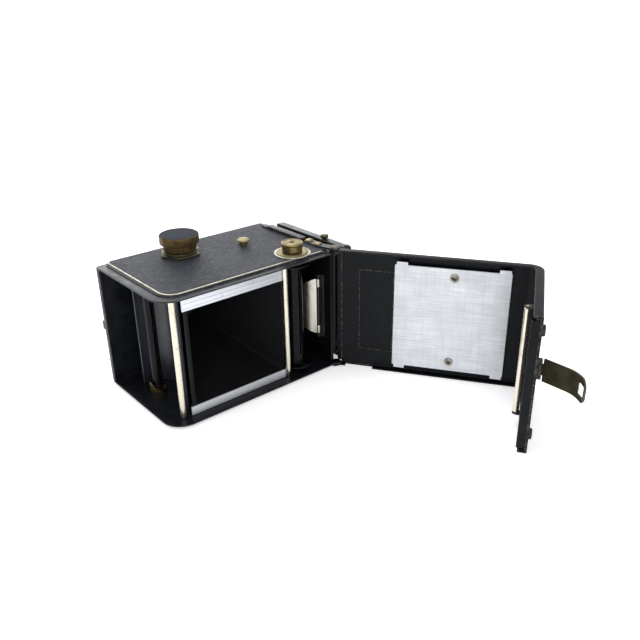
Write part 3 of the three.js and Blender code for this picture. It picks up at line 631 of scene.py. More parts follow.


# the pale blue-grey edge colour is partly wear and partly a painted highlight along the ledges
ENAMEL = painted("black_enamel", "111217", "a2a4aa", 0.8, 0.26, dust="1e2026", gloss=0.27)
DOOR_BLACK = painted("door_black", "090b0f", "b0a890", 0.7, 0.24, dust="12141a", gloss=0.13)
LID_PAINT = painted("lid_paint", "1b1b1d", "77706a", 0.6, 0.28, dust="2c2a2b", gloss=0.4)
BAR_PAINT = painted("bar_paint", "1e1b1d", "8a8178", 0.85, 0.3, dust="3d3738", gloss=0.4)
INNER = painted("inner_black", "070709", "44454b", 0.3, 0.26, dust="0d0e11", gloss=0.28)
MATTE_BLACK = painted("matte_black", "0a0a0d", "3a3b40", 0.35, 0.6, dust="0f1013", gloss=0.2)
CORE_BLACK = painted("core_black", "08080a", "6f7074", 0.35, 0.14, dust="0e0f12", gloss=0.14)
# a lighter copy of the inside black: its grey is a painted reflection on the curved chamber wall
WALL_BLACK_PAINTED_REFLECTION = painted("wall_black_painted_reflection", "22242d", "4c4e57", 0.3, 0.3, dust="2d303b", gloss=0.7)
HIDE = leather("pebbled_leather")
TRIM_METAL = plated("nickel_trim", "bdb8ab", "857d68", 0.45, 0.38)
LEAF_METAL = plated("leaf_metal", "c0bdb4", "8d897e", 0.35, 0.3, brushed=(900, 900, 60))
RIVET_METAL = plated("rivet_metal", "a39674", "6a5f44", 0.5, 0.36)
PIN_METAL = plated("pin_metal", "7d7068", "50463f", 0.45, 0.38)
ROLLER = plated("nickel_roller", "dcd5c4", "a89d86", 0.3, 0.24, brushed=(300, 300, 60))
RAIL = plated("brushed_rail", "e4e7ed", "b4b8c0", 0.25, 0.4, (60, 2500, 2500),
              metallic=0.6, groove=0.2)
PLATE = brushed_plate("brushed_plate")
SCREW_METAL = plated("screw_metal", "a9a59a", "4a4844", 0.55, 0.32)
BROWN_BRASS = plated("aged_brass", "6b5a3a", "3f3826", 0.5, 0.35)
CUP_BRASS = plated("cup_brass", "8c7a4e", "46391f", 0.5, 0.3)
GREEN_BRASS = plated("green_brass", "666450", "3c3b2e", 0.55, 0.42)
KNOB_METAL = knob_metal("knob_metal")
PALE_BRASS = plated("bright_brass", "8d7d55", "473d22", 0.55, 0.34)
DULL_BRASS = plated("dull_brass", "8f8562", "57503a", 0.5, 0.38)
WORN_STEEL = painted("worn_steel", "1d1c1d", "7d776c", 0.75, 0.3, dust="2d2c2d")
STRAP_METAL = painted("strap_metal", "2f2b1e", "8f8563", 0.8, 0.28, dust="4b4535")
LENS = glass("lens_glass", "dfe9ec", 0.0)
GROUND = glass("ground_glass", "e8ecec", 0.35, 0.7)
MIRROR = plated("finder_mirror", "e8ecee", "c4c8c8", 0.15, 0.03)
RUBBER = rubber("foot_rubber")
FLOOR = white_floor("floor")

SLOT_LOOKS = {
    "black_enamel": ENAMEL, "inner_black": INNER, "pebbled_leather": HIDE,
    "nickel_trim": TRIM_METAL, "nickel_roller": ROLLER, "brushed_rail": RAIL,
    "aged_brass": BROWN_BRASS, "bright_brass": PALE_BRASS, "worn_steel": WORN_STEEL,
    "lens_glass": LENS, "ground_glass": GROUND, "finder_mirror": MIRROR, "foot_rubber": RUBBER,
}


def dress_cad_nodes():
    for part in frame["record"]["subparts"]:
        node = frame["nodes"][part["node"]]
        node.data.materials.clear()
        node.data.materials.append(SLOT_LOOKS[part["material_slot"]])


# ---------- body ----------
def make_side_plates():
    sheet, lug = panel(0, 0, LENGTH, DEPTH, [12, 1.5, 2, 2.2]), circle(HINGE, HINGE_LUG)
    margin, corners = 1.3, [10, 1.5, 2, 4]
    field = panel(FIELD_LEFT, FIELD_BACK, LENGTH - margin, DEPTH - margin, corners, notch=5.9)
    field = soften(field, 0.5)
    shoulder = [  # (inset, rise) at the field's edge; the closed door's skirts end beside it
        (-0.34, -1), (-0.34, -0.72), (-0.3, -0.56), (-0.18, -0.34),
        (0, -0.12), (0.2, -0.03), (0.6, 0),
    ]
    top, stem, boss = HEIGHT - LEATHER, 1.6, 4  # stem and boss are radii of the spools' pivots
    root = ROOF_IN + 0.3
    high_pivot = [(0, 67), (stem, 67.6), (stem, 70.4), (boss, 70.6), (boss, root), (0, root)]
    low_pivot = [(0, LEDGE), (boss, LEDGE), (boss, 4.6), (stem, 4.8), (stem, 8), (0, 8.6)]
    upper = together(
        plate(sheet, ROOF_IN, HEIGHT - LEDGE, 0.3),
        plate(lug, ROOF_IN, HEIGHT - LEDGE, 0.2),
        stack(field, [(inside, top + rise) for inside, rise in shoulder]),
        turned(high_pivot, SUPPLY),
    )
    piece("side_plate_upper", upper, ENAMEL)
    lower = together(
        plate(sheet, LEDGE, FLOOR_IN, 0.3),
        plate(lug, LEDGE, FLOOR_IN, 0.2),
        stack(field, [(inside, LEATHER - rise) for inside, rise in reversed(shoulder)]),
        turned(low_pivot, TAKE_UP),
    )
    piece("side_plate_lower", lower, ENAMEL)


def make_leather_and_trim():
    left, back = TRIM["left"], TRIM["back"]
    edge, corners = TRIM["width"] + GLUE, [8, 0.1, 1.5, 3]
    outline = panel(left + edge, back + edge, LENGTH - 0.6, DEPTH - 0.6, corners, notch=6.2)
    holes = [hole(FOCUS, 6), hole(TAKE_UP, 4.5), hole(BUTTON, 2.9)]
    holes += [hole(spin_centre(node), 1.4) for node in RIVETS]
    upper, lower = (HEIGHT - LEATHER + GLUE, HEIGHT), (0, LEATHER - GLUE)
    piece("leather_upper", plate(outline, *upper, 0.2, holes), HIDE)
    piece("leather_lower", plate(outline, *lower, 0.2), HIDE)
    width, radius, end = TRIM["width"], TRIM["radius"], TRIM["end"]
    turn = (left + radius, back + radius)
    line = [(left, DEPTH - 2), *arc(turn, radius, 180, 270, 24), (end, back), (end, back + width)]
    line += arc(turn, radius - width, 270, 180, 24) + [(left + width, DEPTH - 2)]
    piece("trim_upper", plate(line, *upper, 0.2), TRIM_METAL)
    piece("trim_lower", plate(line, *lower, 0.2), TRIM_METAL)


def make_walls():
    rack_opening = soften(rectangle(62.5, 45.5, 67.5, 53), 0.4)[::-1]
    front = plate(
        soften(rectangle(WALL_LOW, 0.4, WALL_HIGH, LENGTH), 0.3), FRONT_WALL, DEPTH, 0.25,
        [hole(TAKING, 15, 80), hole(VIEWING, 13, 80), rack_opening],
    )
    bead = block(0.5, 2.6, FRONT_WALL - 0.7, FRONT_WALL + 0.3, WALL_LOW, WALL_HIGH, 0.4)
    piece("front_wall", together(moved(front, ALONG_Y), bead), ENAMEL)
    window = soften(rectangle(31.5, 12, 67, HEIGHT - 12), 1.5)[::-1]
    outline = soften(rectangle(2.6, WALL_LOW, 70.8, WALL_HIGH), 0.3)
    end = plate(outline, END_WALL, LENGTH, 0.25, [window])
    piece("end_wall", moved(end, ALONG_X), INNER)

    # the chamber walls are rolled round the spools, and each ends in a straight tab
    outer, inner = arc(SUPPLY, 12.9, -28, 103, 40), arc(SUPPLY, 11.9, 103, -28, 40)
    wall = [(15.4, 12.3), (16.4, 12.3)] + outer + [polar(SUPPLY, 12.4, 104)] + inner
    # the supply chamber wall gets the lighter black, a painted reflection
    piece("supply_chamber_wall", plate(wall, WALL_LOW, WALL_HIGH, 0.15), WALL_BLACK_PAINTED_REFLECTION)
    outer, inner = arc(TAKE_UP, 13.1, 158, 80, 32), arc(TAKE_UP, 12.1, 80, 158, 32)
    wall = outer + [(111, 28.2), (111, 27.2)] + inner
    piece("take_up_chamber_wall", plate(wall, WALL_LOW, WALL_HIGH, 0.15), INNER)


def make_light_box():
    """Flange round the film gate, and a four-sided shell that narrows towards the taking lens."""
    gate = soften(rectangle(GATE_LOW, GATE_LEFT, GATE_HIGH, GATE_RIGHT), 1.2)[::-1]
    outline = rectangle(WALL_LOW, 16.6, WALL_HIGH, 79.3)
    flange = plate(outline, GATE_Y + 1.1, GATE_Y + 2.3, 0.1, [gate])
    wide, tall, narrow, thick = 31.2, 30, 9.8, 1.1
    gate_x, gate_z = 48.7, 35.8

    def station(t, margin):
        half_x, half_z = wide + (narrow - wide) * t - margin, tall + (narrow - tall) * t - margin
        x, z = gate_x + (TAKING[1] - gate_x) * t, gate_z + (TAKING[0] - gate_z) * t
        y = GATE_Y + 2.2 + (70 - GATE_Y - 2.2) * t
        outline = rectangle(z - half_z, x - half_x, z + half_z, x + half_x)
        return [(px, y, pz) for pz, px in soften(outline, 3 * (1 - 0.6 * t), 6)]

    outside = [station(i / 8, 0) for i in range(9)]
    inside = [station(i / 8, thick) for i in range(8, -1, -1)]
    piece("light_box", together(moved(flange, ALONG_Y), loft(outside + inside)), MATTE_BLACK)


def make_rails():
    """Film rails with drawn grooves along their length."""
    def rail(z0, z1, grooves):
        front, back, root = GATE_Y, GATE_Y + 1.05, GATE_Y + 0.28
        section = [(back, z0), (front + 0.3, z0), (front, z0 + 0.35)]
        for z in grooves:
            section += [(front, z - 0.35), (root, z - 0.2), (root, z + 0.2), (front, z + 0.35)]
        section += [(front, z1 - 0.35), (front + 0.3, z1), (back, z1)]
        return moved(plate(section[::-1], RAIL_LEFT, RAIL_RIGHT, 0.1), ALONG_X)

    piece("rail_upper", rail(63.6, WALL_HIGH, (65.4, 67.9, 70.6)), RAIL)
    piece("rail_lower", rail(WALL_LOW, 7.1, (4.6,)), RAIL)


def roller_mesh(at, z0, z1, journal=1.1):
    radius, shoulder, pin = 1.7, 1.35, 0.8
    a, b = z0 + journal, z1 - journal
    profile = [
        (0, z0), (pin, z0), (pin, a), (shoulder, a), (radius, a + 0.35),
        (radius, b - 0.35), (shoulder, b), (pin, b), (pin, z1), (0, z1),
    ]
    return turned(profile, at, 0.12, 64)


def make_rollers():
    for node in ("supply_roller", "gate_roller"):
        piece(node, roller_mesh(spin_centre(node), FLOOR_IN - 0.4, ROOF_IN + 0.4), ROLLER)


def peg(at, radius, z0, z1, soft=0.05, segments=96):
    """Plain round pin or bore."""
    return turned([(0, z0), (radius, z0), (radius, z1), (0, z1)], at, soft, segments)


def make_supply_side():
    """The empty core that the film comes from, in a brass cup with a raised rim."""
    x, y = SUPPLY
    core, rim = 2.9, 3.4
    low_z, high_z = SPOOL_LOW, SPOOL_HIGH
    profile = [
        (0, low_z), (rim, low_z), (rim, 6.2), (core, 6.4),
        (core, 68.8), (rim, 69), (rim, high_z), (0, high_z),
    ]
    slit = block(x - 0.6, x + 0.6, y - 7, y + 7, SPOOL_SLOT, HEIGHT - SPOOL_SLOT, 0.1)
    bores = peg(SUPPLY, 2, 64.5, 71), peg(SUPPLY, 2, 4, 10.2)
    spool = carved(turned(profile, SUPPLY, 0.2), *bores, slit)
    piece("supply_spool", spool, CORE_BLACK)
    z = WALL_LOW
    profile = [(0, 0), (4.6, 0), (4.8, 6.8), (4.2, 6.8), (4, 0.8), (0, 0.8)]
    cup = turned(profile, SUPPLY, 0.15, base=z)
    swoop = [  # what is cut away from the cup, seen from the back
        (x - 5.4, z + 9), (x - 4.6, z + 6.4), (x - 3.6, z + 3.6), (x - 2.2, z + 2.1), (x, z + 1.6),
        (x + 8, z + 1.6), (x + 8, z + 9),
    ]
    clear = moved(plate(soften(swoop, 1.6), -6, 6, 0.05), upright_at(y))
    stud = turned([(0, 0), (1.6, 0), (1.6, 4), (0, 4.6)], SUPPLY, 0.2, base=z)
    piece("supply_seat", together(carved(cup, clear), stud), CUP_BRASS)


def make_take_up_side():
    x, y = TAKE_UP
    low_z, high_z, rim, flange, core = SPOOL_LOW, SPOOL_HIGH, SPOOL_RIM, SPOOL_FLANGE, SPOOL_CORE
    spool = turned([
        (0, low_z), (flange, low_z), (flange, low_z + rim), (core, low_z + rim + 0.3),
        (core, high_z - rim - 0.3), (flange, high_z - rim), (flange, high_z), (0, high_z),
    ], TAKE_UP, 0.3, 120)
    slot = block(x - 0.6, x + 0.6, y - 7, y + 7, SPOOL_SLOT, HEIGHT - SPOOL_SLOT, 0.2)
    keyway = block(x - 0.9, x + 0.9, y - 3.1, y + 3.1, high_z - 4, high_z + 1, 0.1)
    spool = carved(spool, slot, keyway, peg(TAKE_UP, 2, 4, 10.2), peg(TAKE_UP, 2, 65, 71))
    piece("take_up_spool", spool, CORE_BLACK)
    shaft = peg(TAKE_UP, 2.6, 70.6, 76.5, 0.15)
    key = block(x - 0.6, x + 0.6, y - 1.7, y + 1.7, 66.8, 71, 0.1)
    piece("wind_shaft", together(shaft, key), PALE_BRASS)


def make_roll_plate():
    """Curved spring leaf with slanted ends, on a pin in a bracket on the end wall."""
    x, y = Vector(JOINTS["roll_plate_swing"]["pos_m"][:2]) / MM - CORNER.xy
    outer = curve((x - 1.2, y + 0.2), (x - 5.2, y + 3.2), (x - 7.2, y + 8.4), 16)
    inner = curve((x - 6.7, y + 8.7), (x - 4.6, y + 3.8), (x - 0.8, y + 0.8), 16)
    leaf = plate((outer + inner)[::-1], LEAF_LOW, HEIGHT - LEAF_LOW, 0.08)
    slant = [(y + 1, 20), (y + 1, 10), (y + 12, 10), (y + 12, 25.4), (y + 8, 24.2)]
    wedge = moved(plate(slant[::-1], x - 12, x + 3, 0.02), ALONG_X)
    flipped = wedge.copy()
    flipped.transform(Matrix.Translation((0, 0, HEIGHT)) @ Matrix.Scale(-1, 4, (0, 0, 1)))
    flipped.flip_normals()
    tall = 5
    knuckles = [
        turned([(0.7, z), (1.2, z), (1.2, z + tall), (0.7, z + tall)], (x, y), 0.1, 48)
        for z in (LEAF_LOW, HEIGHT - LEAF_LOW - tall)
    ]
    piece("roll_plate", together(carved(leaf, wedge, flipped), *knuckles), LEAF_METAL)
    foot, wall = LEAF_LOW - 2.5, END_WALL - 0.5
    feet = (foot, HEIGHT - foot - 1)
    base = block(wall, END_WALL - GLUE, y - 3.2, y + 1.6, foot, HEIGHT - foot, 0.1)
    ears = [block(x - 1.1, wall + 0.2, y - 1.4, y + 1.4, z, z + 1, 0.2) for z in feet]
    pin = peg((x, y), 0.6, LEAF_LOW - 2, HEIGHT - LEAF_LOW + 2, 0.1, 32)
    piece("roll_plate_bracket", together(base, *ears, pin), WORN_STEEL)


# ---------- knobs and small parts on the upper side ----------
def star(at, ribs, outer, inner):
    radii = (outer, outer, inner, inner)
    return soften([polar(at, radii[i % 4], 90 * i / ribs) for i in range(4 * ribs)], 0.25, 3)


def make_wind_knob():
    z = 76.6
    body = turned([
        (0, 0), (5.6, 0), (5.8, 0.3), (5.7, 3.7), (6.4, 4.1), (6.5, 4.5), (6.4, 4.9),
        (5.9, 5.3), (5.1, 5.3), (4.8, 5.05), (4.5, 5.05), (4.2, 5.25), (1.3, 5.2),
        (0.9, 4.9), (0.8, 3), (0, 3),
    ], TAKE_UP, 0.3, 128, z)
    piece("wind_knob", body, PALE_BRASS)
    z = HEIGHT + 0.55
    flange = [(3.3, 0), (9.2, 0), (9.1, 0.4), (7.6, 0.65), (3.3, 0.65)]
    piece("wind_flange", turned(flange, TAKE_UP, 0.15, 128, z), DULL_BRASS)
    z = HEIGHT + GLUE
    washer = [(3.4, 0), (10.6, 0), (10.5, 0.45), (3.4, 0.45)]
    piece("wind_washer", turned(washer, TAKE_UP, 0.12, 128, z), TRIM_METAL)


def make_focus_knob():
    z = HEIGHT + GLUE
    hexagon = plate(soften(circle(FOCUS, 12.4, 6), 0.8), z, z + 1.2, 0.3)
    base = carved(hexagon, peg(FOCUS, 2.4, z - 1, z + 3))
    boss = turned([(2.4, 1.1), (9.4, 1.1), (9.4, 1.9), (9.1, 2.2), (2.4, 2.2)], FOCUS, 0.15, base=z)
    piece("focus_flange", together(base, boss), GREEN_BRASS)
    z = HEIGHT + 2.6
    ribs = plate(star(FOCUS, 12, 9.3, 8.7), z, z + 4.3, 0.25)
    cap = turned([
        (0, 4), (10.7, 4), (11.25, 4.4), (11.25, 8.8), (10.8, 9.2), (9.7, 9.3),
        (9.3, 9.12), (8.9, 9.12), (8.6, 9.25), (0, 9.3),
    ], FOCUS, 0.25, 144, z)
    piece("focus_knob", together(ribs, cap), KNOB_METAL)


def make_button_and_rivets():
    z = HEIGHT + 2.4
    button = [
        (0, 69.5), (3.4, 69.5), (3.4, 70.2), (2.2, 70.3), (2.2, z - 0.2), (2.4, z), (3.8, z),
        (4, z + 0.25), (3.95, z + 0.7), (3.2, z + 1.25), (1.6, z + 1.6), (0, z + 1.7),
    ]
    piece("release_button", turned(button, BUTTON, 0.25, 96), DULL_BRASS)
    z, root, stem = HEIGHT + 1, HEIGHT - LEATHER + GLUE, 1.2
    rivet = [
        (0, root), (stem, root), (stem, z), (2.25, z),
        (2.3, z + 0.2), (2.1, z + 0.6), (1.2, z + 1), (0, z + 1.1),
    ]
    for node in RIVETS:
        piece(node, turned(rivet, spin_centre(node), 0.2), RIVET_METAL)
    pin = [
        (0, ROOF_IN), (stem, ROOF_IN), (stem, z), (2.65, z),
        (2.7, z + 0.3), (2.5, z + 0.7), (1.4, z + 1.2), (0, z + 1.3),
    ]
    piece("hinge_pin_upper", turned(pin, HINGE, 0.2), PIN_METAL)
    z = LID["high"] + GLUE
    stud = [(0, 0), (1.5, 0), (1.5, 0.6), (2.5, 0.9), (2.5, 2.2), (1.8, 2.6), (0, 2.7)]
    piece("lid_stud", turned(stud, spin_centre("lid_stud"), 0.25, base=z), GREEN_BRASS)


def make_bar_and_arm():
    z = HEIGHT + GLUE
    bar = plate(soften(rectangle(108.4, 26, 112.9, 60), 1.2), z, z + 1.9, 0.45)
    foot = plate(soften(rectangle(108.6, 57, 112.7, 66.5), 1.4), z, z + 0.8, 0.25)
    piece("stay_bar", together(bar, foot), BAR_PAINT)
    arm = [
        (109.2, 24.6), (114.2, 24.6), (114.4, 12), (117.6, 3),
        (116.9, 0), (114.4, -1), (112.2, 0.4), (108.9, 12),
    ]
    holes = [hole(spin_centre(node), 1.3) for node in (*RIVETS, "hinge_pin_upper")]
    piece("hinge_arm", plate(soften(arm[::-1], 1.2), z, z + 0.9, 0.25, holes), BAR_PAINT)


# ---------- finder ----------
def make_hood():
    screen_window = soften(rectangle(31, 11.5, 67.5, HEIGHT - 11.5), 1.5)[::-1]
    frame_outline = soften(rectangle(6.5, 4.2, 69.5, HEIGHT - 4.2), 1)
    shape = plate(frame_outline, LENGTH + GLUE, 118.8, 0.3, [screen_window])
    lug = [
        (118, 6.6), (120.6, 6.6), (122.7, 1.2), (124.9, 1.2),
        (125.4, 3.4), (125, 7), (122, 16), (118, 16),
    ]
    bore = hole(LID["pin"], 1.05, 32)
    lugs = [plate(soften(lug, 0.8), z, z + 2, 0.2, [bore]) for z in (4.3, HEIGHT - 6.3)]
    piece("hood_base", together(moved(shape, ALONG_X), *lugs), ENAMEL)

    back, front, end, low_z, high_z = (LID[key] for key in ("back", "front", "end", "low", "high"))
    sheet = 0.9
    middle = ((back + front) / 2, LID["pin"][1])
    side = [(back, end)] + arc(middle, (front - back) / 2, 180, 360, 24)
    side += arc((front - 2, end - 2), 2, 0, 90, 8)
    hollow = block(back - 5, front - sheet, -5, end - sheet, low_z + sheet, high_z - sheet, sheet)
    drill = peg(LID["pin"], 1.1, -1, HEIGHT + 1, 0.02, 40)
    piece("hood_lid", carved(plate(side, low_z, high_z, 0.7), hollow, drill), LID_PAINT)
    low_z, high_z = low_z - 0.1, high_z + 0.1
    pin = [
        (0, low_z - 0.6), (1.8, low_z - 0.6), (1.8, low_z), (1, low_z), (1, high_z), (1.8, high_z),
        (1.8, high_z + 0.6), (1.1, high_z + 0.9), (0, high_z + 0.5),
    ]
    piece("hood_pin", turned(pin, LID["pin"], 0.15), WORN_STEEL)


# ---------- front ----------
def ring(profile, base, at, segments, radius=0.3):
    """Ring with softened corners and its axis along the lenses."""
    return moved(turned(profile, at, radius, segments, base), ALONG_Y)


def lens(at, radius, back):
    """Flat at the back, domed in front."""
    angles = [pi / 2 * i / 12 for i in range(13)]
    crown = [(radius * sin(a), back + 2 + 1.3 * cos(a)) for a in angles]
    return moved(lathe([(0, back), (radius, back)] + crown[::-1], at, 128), ALONG_Y)


def make_front():
    y = DEPTH + BOARD["gap"]
    outline = rectangle(BOARD["low"], BOARD["left"], HEIGHT - BOARD["low"], BOARD["right"])
    board = plate(soften(outline, 6, 10), y, y + BOARD["thick"], 0.5)
    rack_slot = soften(rectangle(62.8, 46.6, 67.2, 49.7), 0.4)
    shapes = (circle(TAKING, 12, 96), circle(VIEWING, 11, 96), rack_slot)
    openings = [plate(shape, 70, 80, 0.1) for shape in shapes]
    piece("lens_board", moved(carved(board, *openings), ALONG_Y), ENAMEL)

    y += BOARD["thick"] + GLUE
    housing = ring([
        (8.3, -4.5), (11.8, -4.5), (11.8, 0), (20, 0), (20, 5), (19, 6), (17.6, 6),
        (17.3, 5.7), (16.2, 5.7), (15.9, 6), (12.5, 6), (12.2, 11), (11.2, 11.6),
        (9.8, 11.6), (9.2, 10.7), (8.9, 10.7), (8.6, 9.8), (8.3, 9.5),
    ], y, TAKING, 144)
    y0, y1 = DEPTH + 5, DEPTH + 5.5
    blades = lathe([(0, y0), (8.7, y0), (8.7, y1), (0, y1)], TAKING, 96)  # the closed shutter
    piece("shutter_housing", together(housing, moved(blades, ALONG_Y)), ENAMEL)
    mount = ring([
        (7.9, -5), (10.8, -5), (10.8, 0), (14.5, 0), (14.5, 1.5), (12, 2.5), (12, 8),
        (11.2, 8.6), (9.4, 8.6), (8.9, 7.9), (8.5, 7.9), (7.9, 7),
    ], y, VIEWING, 128)
    piece("viewing_mount", mount, ENAMEL)
    piece("taking_lens", lens(TAKING, 8.2, DEPTH + 8), LENS)
    piece("viewing_lens", lens(VIEWING, 7.8, DEPTH + 6), LENS)
    y0, y1 = DEPTH + 9.1, DEPTH + 10.1
    collar = lathe(soften([(12.9, y0), (15.5, y0), (15.5, y1), (12.9, y1)], 0.2, 3), TAKING, 96)
    tab = rectangle(MID - 26, TAKING[1] - 1.6, MID - 14.5, TAKING[1] + 1.6)
    tab = plate(soften(tab, 1.2), y0, y1, 0.2)
    piece("shutter_lever", moved(together(collar, tab), ALONG_Y), TRIM_METAL)


# ---------- door ----------
def door_path(hinge_end):
    """(point, inward normal) pairs along the door's outside, from the hinge to the flap's end."""
    turn = DOOR_FACE + BEND
    back = turn - hinge_end
    stations = [((hinge_end + back * i / 24, DOOR_FACE), (0, 1)) for i in range(24)]
    for i in range(25):
        angle = radians(270 - 90 * i / 24)
        normal = (-cos(angle), -sin(angle))
        stations.append(((turn - BEND * normal[0], turn - BEND * normal[1]), normal))
    reach = FLAP_END - DOOR_FACE - BEND
    return stations + [((DOOR_FACE, turn + reach * i / 12), (1, 0)) for i in range(1, 13)]


def make_door():
    z0, z1, inner_face = DOOR_LOW, DOOR_HIGH, DOOR_FACE + SHEET
    section = [
        (SKIRT, z0), (0, z0), (0, z1), (SKIRT, z1),
        (SKIRT, z1 - SHEET), (SHEET, z1 - SHEET), (SHEET, z0 + SHEET), (SKIRT, z0 + SHEET),
    ]
    hinge = HINGE[0]
    shell = sweep(soften(section, 0.9, 5), door_path(hinge - 3))
    notch = block(hinge - 23, hinge - 6, inner_face + 0.6, SKIRT + 2, -1, z0 + SHEET + 0.6, 0.5)
    edge = [(hinge - 3.4, DOOR_FACE + 0.1), (hinge - 0.4, DOOR_FACE - 0.2)]
    tongue = edge + arc(HINGE, 3.6, -92, 100, 24) + [(hinge - 3.4, DOOR_FACE + SKIRT - 0.1)]
    ears = [plate(tongue, z, z + SHEET, 0.2, [hole(HINGE, 1.5, 40)]) for z in (z0, z1 - SHEET)]
    lip_ends = (FLOOR_IN + 0.6, ROOF_IN - 0.6)
    lip = block(DOOR_FACE + 0.5, 4.3, FLAP_END - SHEET, FLAP_END, *lip_ends, 0.35)
    embossed = block(hinge - 34, hinge - 14, inner_face - 0.2, inner_face + 0.18, 12, 63, 0.15)
    strip = block(hinge - 3.3, hinge - 0.4, DOOR_FACE, inner_face, 2.25, HEIGHT - 2.25, 0.3)
    shell = together(carved(shell, notch), *ears, lip, embossed, strip)
    piece("door_shell", shell, DOOR_BLACK, DOOR)


def door_centre(node):
    """Centre of a door node, in the door's frame."""
    return DOOR.inverted() @ ((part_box(node)[0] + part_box(node)[1]) / 2)


def make_pressure_plate():
    x0, x1, y, z0, z1, sheet = HINGE[0] - 100, HINGE[0] - 35, 1.95, 5.4, 69.4, 0.8
    tabs_low, tabs_high = z0 - 2, z1 + 1.8
    outline = [
        (x0, z0), (x0 + 0.5, z0), (x0 + 0.5, tabs_low), (x0 + 7, tabs_low), (x0 + 7, z0),
        (x1 - 7.5, z0), (x1 - 7.5, tabs_low), (x1 - 1, tabs_low), (x1 - 1, z0), (x1, z0),
        (x1, z1), (x1 - 1, z1), (x1 - 1, tabs_high), (x1 - 7.5, tabs_high), (x1 - 7.5, z1),
        (x0 + 7, z1), (x0 + 7, tabs_high), (x0 + 0.5, tabs_high), (x0 + 0.5, z1), (x0, z1),
    ]
    screws = [tuple(door_centre(node).xz) for node in SCREWS]
    face = plate(soften(outline, 0.45, 3), 0, sheet, 0.22, [hole(at, 1.5) for at in screws])
    end = block(x1 - 0.8, x1, y - 0.9, y + 0.4, z0 + 1, z1 - 1, 0.25)
    piece("pressure_plate", together(moved(face, upright_at(y + sheet)), end), PLATE, DOOR)
    root, head = DOOR_FACE + SHEET + GLUE, y + 0.9
    profile = [
        (0, root), (1.25, root), (1.25, head), (2.6, head), (2.5, head + 0.35), (1.9, head + 0.6),
        (1.3, head + 0.35), (1.05, root + 0.9), (0, root + 0.9),
    ]
    for node, (x, z) in zip(SCREWS, screws):
        piece(node, moved(turned(profile, (z, x), 0.15), ALONG_Y), SCREW_METAL, DOOR)


def make_flap_roller():
    x, y = FLAP_ROLLER
    low_z, high_z, cheek = 6.4, HEIGHT - 6.4, x + 1.8
    piece("flap_roller", roller_mesh(FLAP_ROLLER, 6.5, HEIGHT - 6.5, 1.2), ROLLER, DOOR)
    base = block(GLUE - 0.3, 0.55, y - 4, y + 4, low_z, high_z, 0.2)
    outline = [
        (0, y - 2.6), (x, y - 1.8), (cheek, y - 0.9),
        (cheek, y + 0.9), (x, y + 1.8), (0, y + 2.6),
    ]
    pivot = hole(FLAP_ROLLER, 0.9, 32)
    arms = [plate(soften(outline, 0.8), z, z + 0.9, 0.2, [pivot]) for z in (low_z, HEIGHT - 7.3)]
    piece("flap_roller_bracket", together(base, *arms), WORN_STEEL, DOOR)


def make_feet_and_latch():
    outer = DOOR_FACE - GLUE
    profile = [
        (0, -0.9), (0.8, -0.9), (1, -1.4), (2.3, -1.5),
        (2.7, -1.3), (3, -0.2), (2.9, 0), (0, 0),
    ]
    for node in ("foot_1", "foot_2"):
        foot = turned(profile, tuple(door_centre(node).yz), 0.15, base=outer)
        piece(node, moved(foot, ALONG_X), RUBBER, DOOR)
    x, y = LATCH
    low_z, high_z = STRAP_LOW + 1, STRAP_HIGH - 1
    base = block(outer - 0.8, outer, y - 8, y - 1.5, low_z, high_z, 0.25)
    ears = [block(x - 1.3, outer, y - 2.2, y + 1.3, z, z + 2, 0.5) for z in (low_z, high_z - 2)]
    pin = peg(LATCH, 0.6, low_z + 0.5, high_z - 0.5, 0.1, 32)
    piece("latch_hinge", together(base, *ears, pin), WORN_STEEL, DOOR)


def make_strap():
    """Bent spring strap with a rounded tip, a slot and a narrow knuckle; and its catch."""
    x, y = LATCH
    low_z, high_z, knuckle_end, tip_radius = STRAP_LOW, STRAP_HIGH, 3.3, 4.5
    inner = [(x - 0.4, y + 0.8)] + curve((x - 0.4, y + 15), (x - 0.3, y + 22), (x + 6, y + 28), 24)
    outer = curve((x - 1.2, y + 15), (x - 1.2, y + 22.6), (x + 5.2, y + 28.6), 24)[::-1]
    outer.append((x - 1.2, y + 0.8))
    strap = plate(inner + outer, low_z, high_z, 0.25)
    cuts = [
        block(x - 3, x + 1.5, y - 3, y + 1.8, z0, z1, 0.2)
        for z0, z1 in ((0, low_z + knuckle_end), (high_z - knuckle_end, HEIGHT))
    ]
    tip = y + 28.7 - tip_radius
    round_end = arc((tip, low_z + tip_radius), tip_radius, 270, 360, 10)
    round_end += arc((tip, high_z - tip_radius), tip_radius, 0, 90, 10)
    blank = [(y - 4, low_z - 1), (y - 3, low_z), *round_end, (y - 3, high_z), (y - 4, high_z + 1)]
    strap = carved(strap, moved(plate(blank, x - 6, x + 12, 0.02), ALONG_X), operation="INTERSECT")
    slot = block(x - 2, x + 9, y + 22.6, y + 27, MID - 3.4, MID + 3.4, 0.6)
    z0, z1 = low_z + knuckle_end, high_z - knuckle_end
    knuckle = turned([(0.7, z0), (1.3, z0), (1.3, z1), (0.7, z1)], LATCH, 0.1, 64)
    piece("latch_strap", together(carved(strap, *cuts, slot), knuckle), STRAP_METAL, STRAP)
    y = DEPTH + GLUE
    foot = block(1.4, 6.6, y, y + 1, MID - 5, MID + 5, 0.3)
    neck = block(0.4, 1.5, y, y + 1, MID - 2.6, MID + 2.6, 0.1)
    tongue = block(0.4, 1, y, y + 2.5, MID - 2.6, MID + 2.6, 0.25)
    piece("latch_catch", together(foot, neck, tongue), WORN_STEEL)


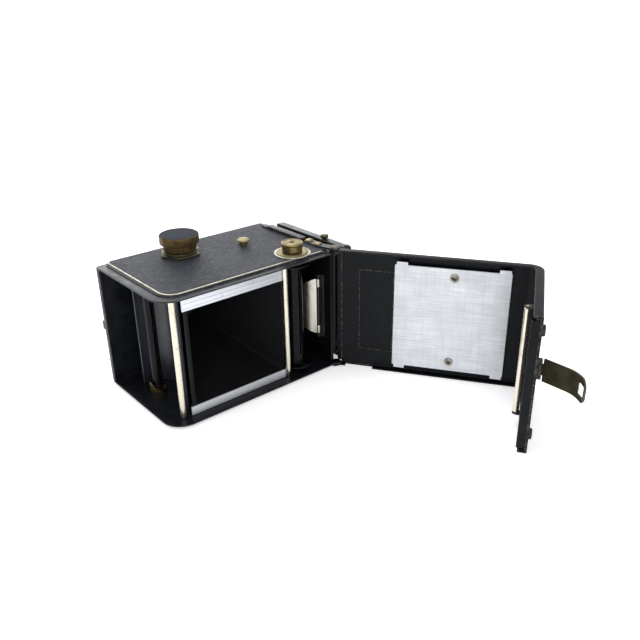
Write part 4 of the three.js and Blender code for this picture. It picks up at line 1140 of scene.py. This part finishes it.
# ---------- stage ----------
def make_stage():
    mesh = bpy.data.meshes.new("floor")
    half, under = 40.0, 0.00002  # metres
    corners = [(x, y, 0) for x, y in rectangle(-half, -half, half, half)]
    mesh.from_pydata(corners, [], [(0, 1, 2, 3)])
    mesh.materials.append(FLOOR)
    floor = show("floor", mesh)
    floor.location.z = cad_box[0].z - under


def area_light(name, place, target, size, power, tint=(1, 1, 1)):
    data = bpy.data.lights.new(name, "AREA")
    data.shape = "RECTANGLE"
    data.size, data.size_y = size
    data.energy = power
    data.color = tint
    light = show(name, data)
    light.location = place
    light.rotation_mode = "QUATERNION"
    light.rotation_quaternion = (Vector(target) - Vector(place)).to_track_quat("-Z", "Y")


def make_light():
    world = bpy.data.worlds.new("studio")
    world.use_nodes = True
    nodes, links = world.node_tree.nodes, world.node_tree.links
    background = nodes["Background"]
    background.inputs["Color"].default_value = (0.98, 0.99, 1, 1)
    direction, split = nodes.new("ShaderNodeTexCoord"), nodes.new("ShaderNodeSeparateXYZ")
    links.new(direction.outputs["Generated"], split.inputs["Vector"])
    height = nodes.new("ShaderNodeMapRange")  # a pale wall round the floor, a softer sky above it
    for socket, value in zip(("From Min", "From Max", "To Min", "To Max"), (0.3, 0.45, 1.0, 0.5)):
        height.inputs[socket].default_value = value
    links.new(split.outputs["Z"], height.inputs["Value"])
    links.new(height.outputs["Result"], background.inputs["Strength"])
    bpy.context.scene.world = world
    target = (0, 0, 0.03)
    area_light("top_softbox", (0.1, 0.25, 0.9), target, (0.9, 0.9), 5.8)
    area_light("front_fill", (-0.45, -0.75, 0.5), target, (0.7, 0.5), 1.8)
    area_light("back_window", (0.3, 0.9, 0.45), target, (1.0, 0.5), 3.5, (0.94, 0.97, 1))
    view = bpy.context.scene.view_settings
    view.view_transform = "Standard"
    view.look = "None"


for make in (
    make_camera, dress_cad_nodes, make_side_plates, make_leather_and_trim, make_walls,
    make_light_box, make_rails, make_rollers, make_supply_side, make_take_up_side, make_roll_plate,
    make_wind_knob, make_focus_knob, make_button_and_rivets, make_bar_and_arm, make_hood,
    make_front, make_door, make_pressure_plate, make_flap_roller, make_feet_and_latch, make_strap,
    make_stage, make_light,
):
    make()
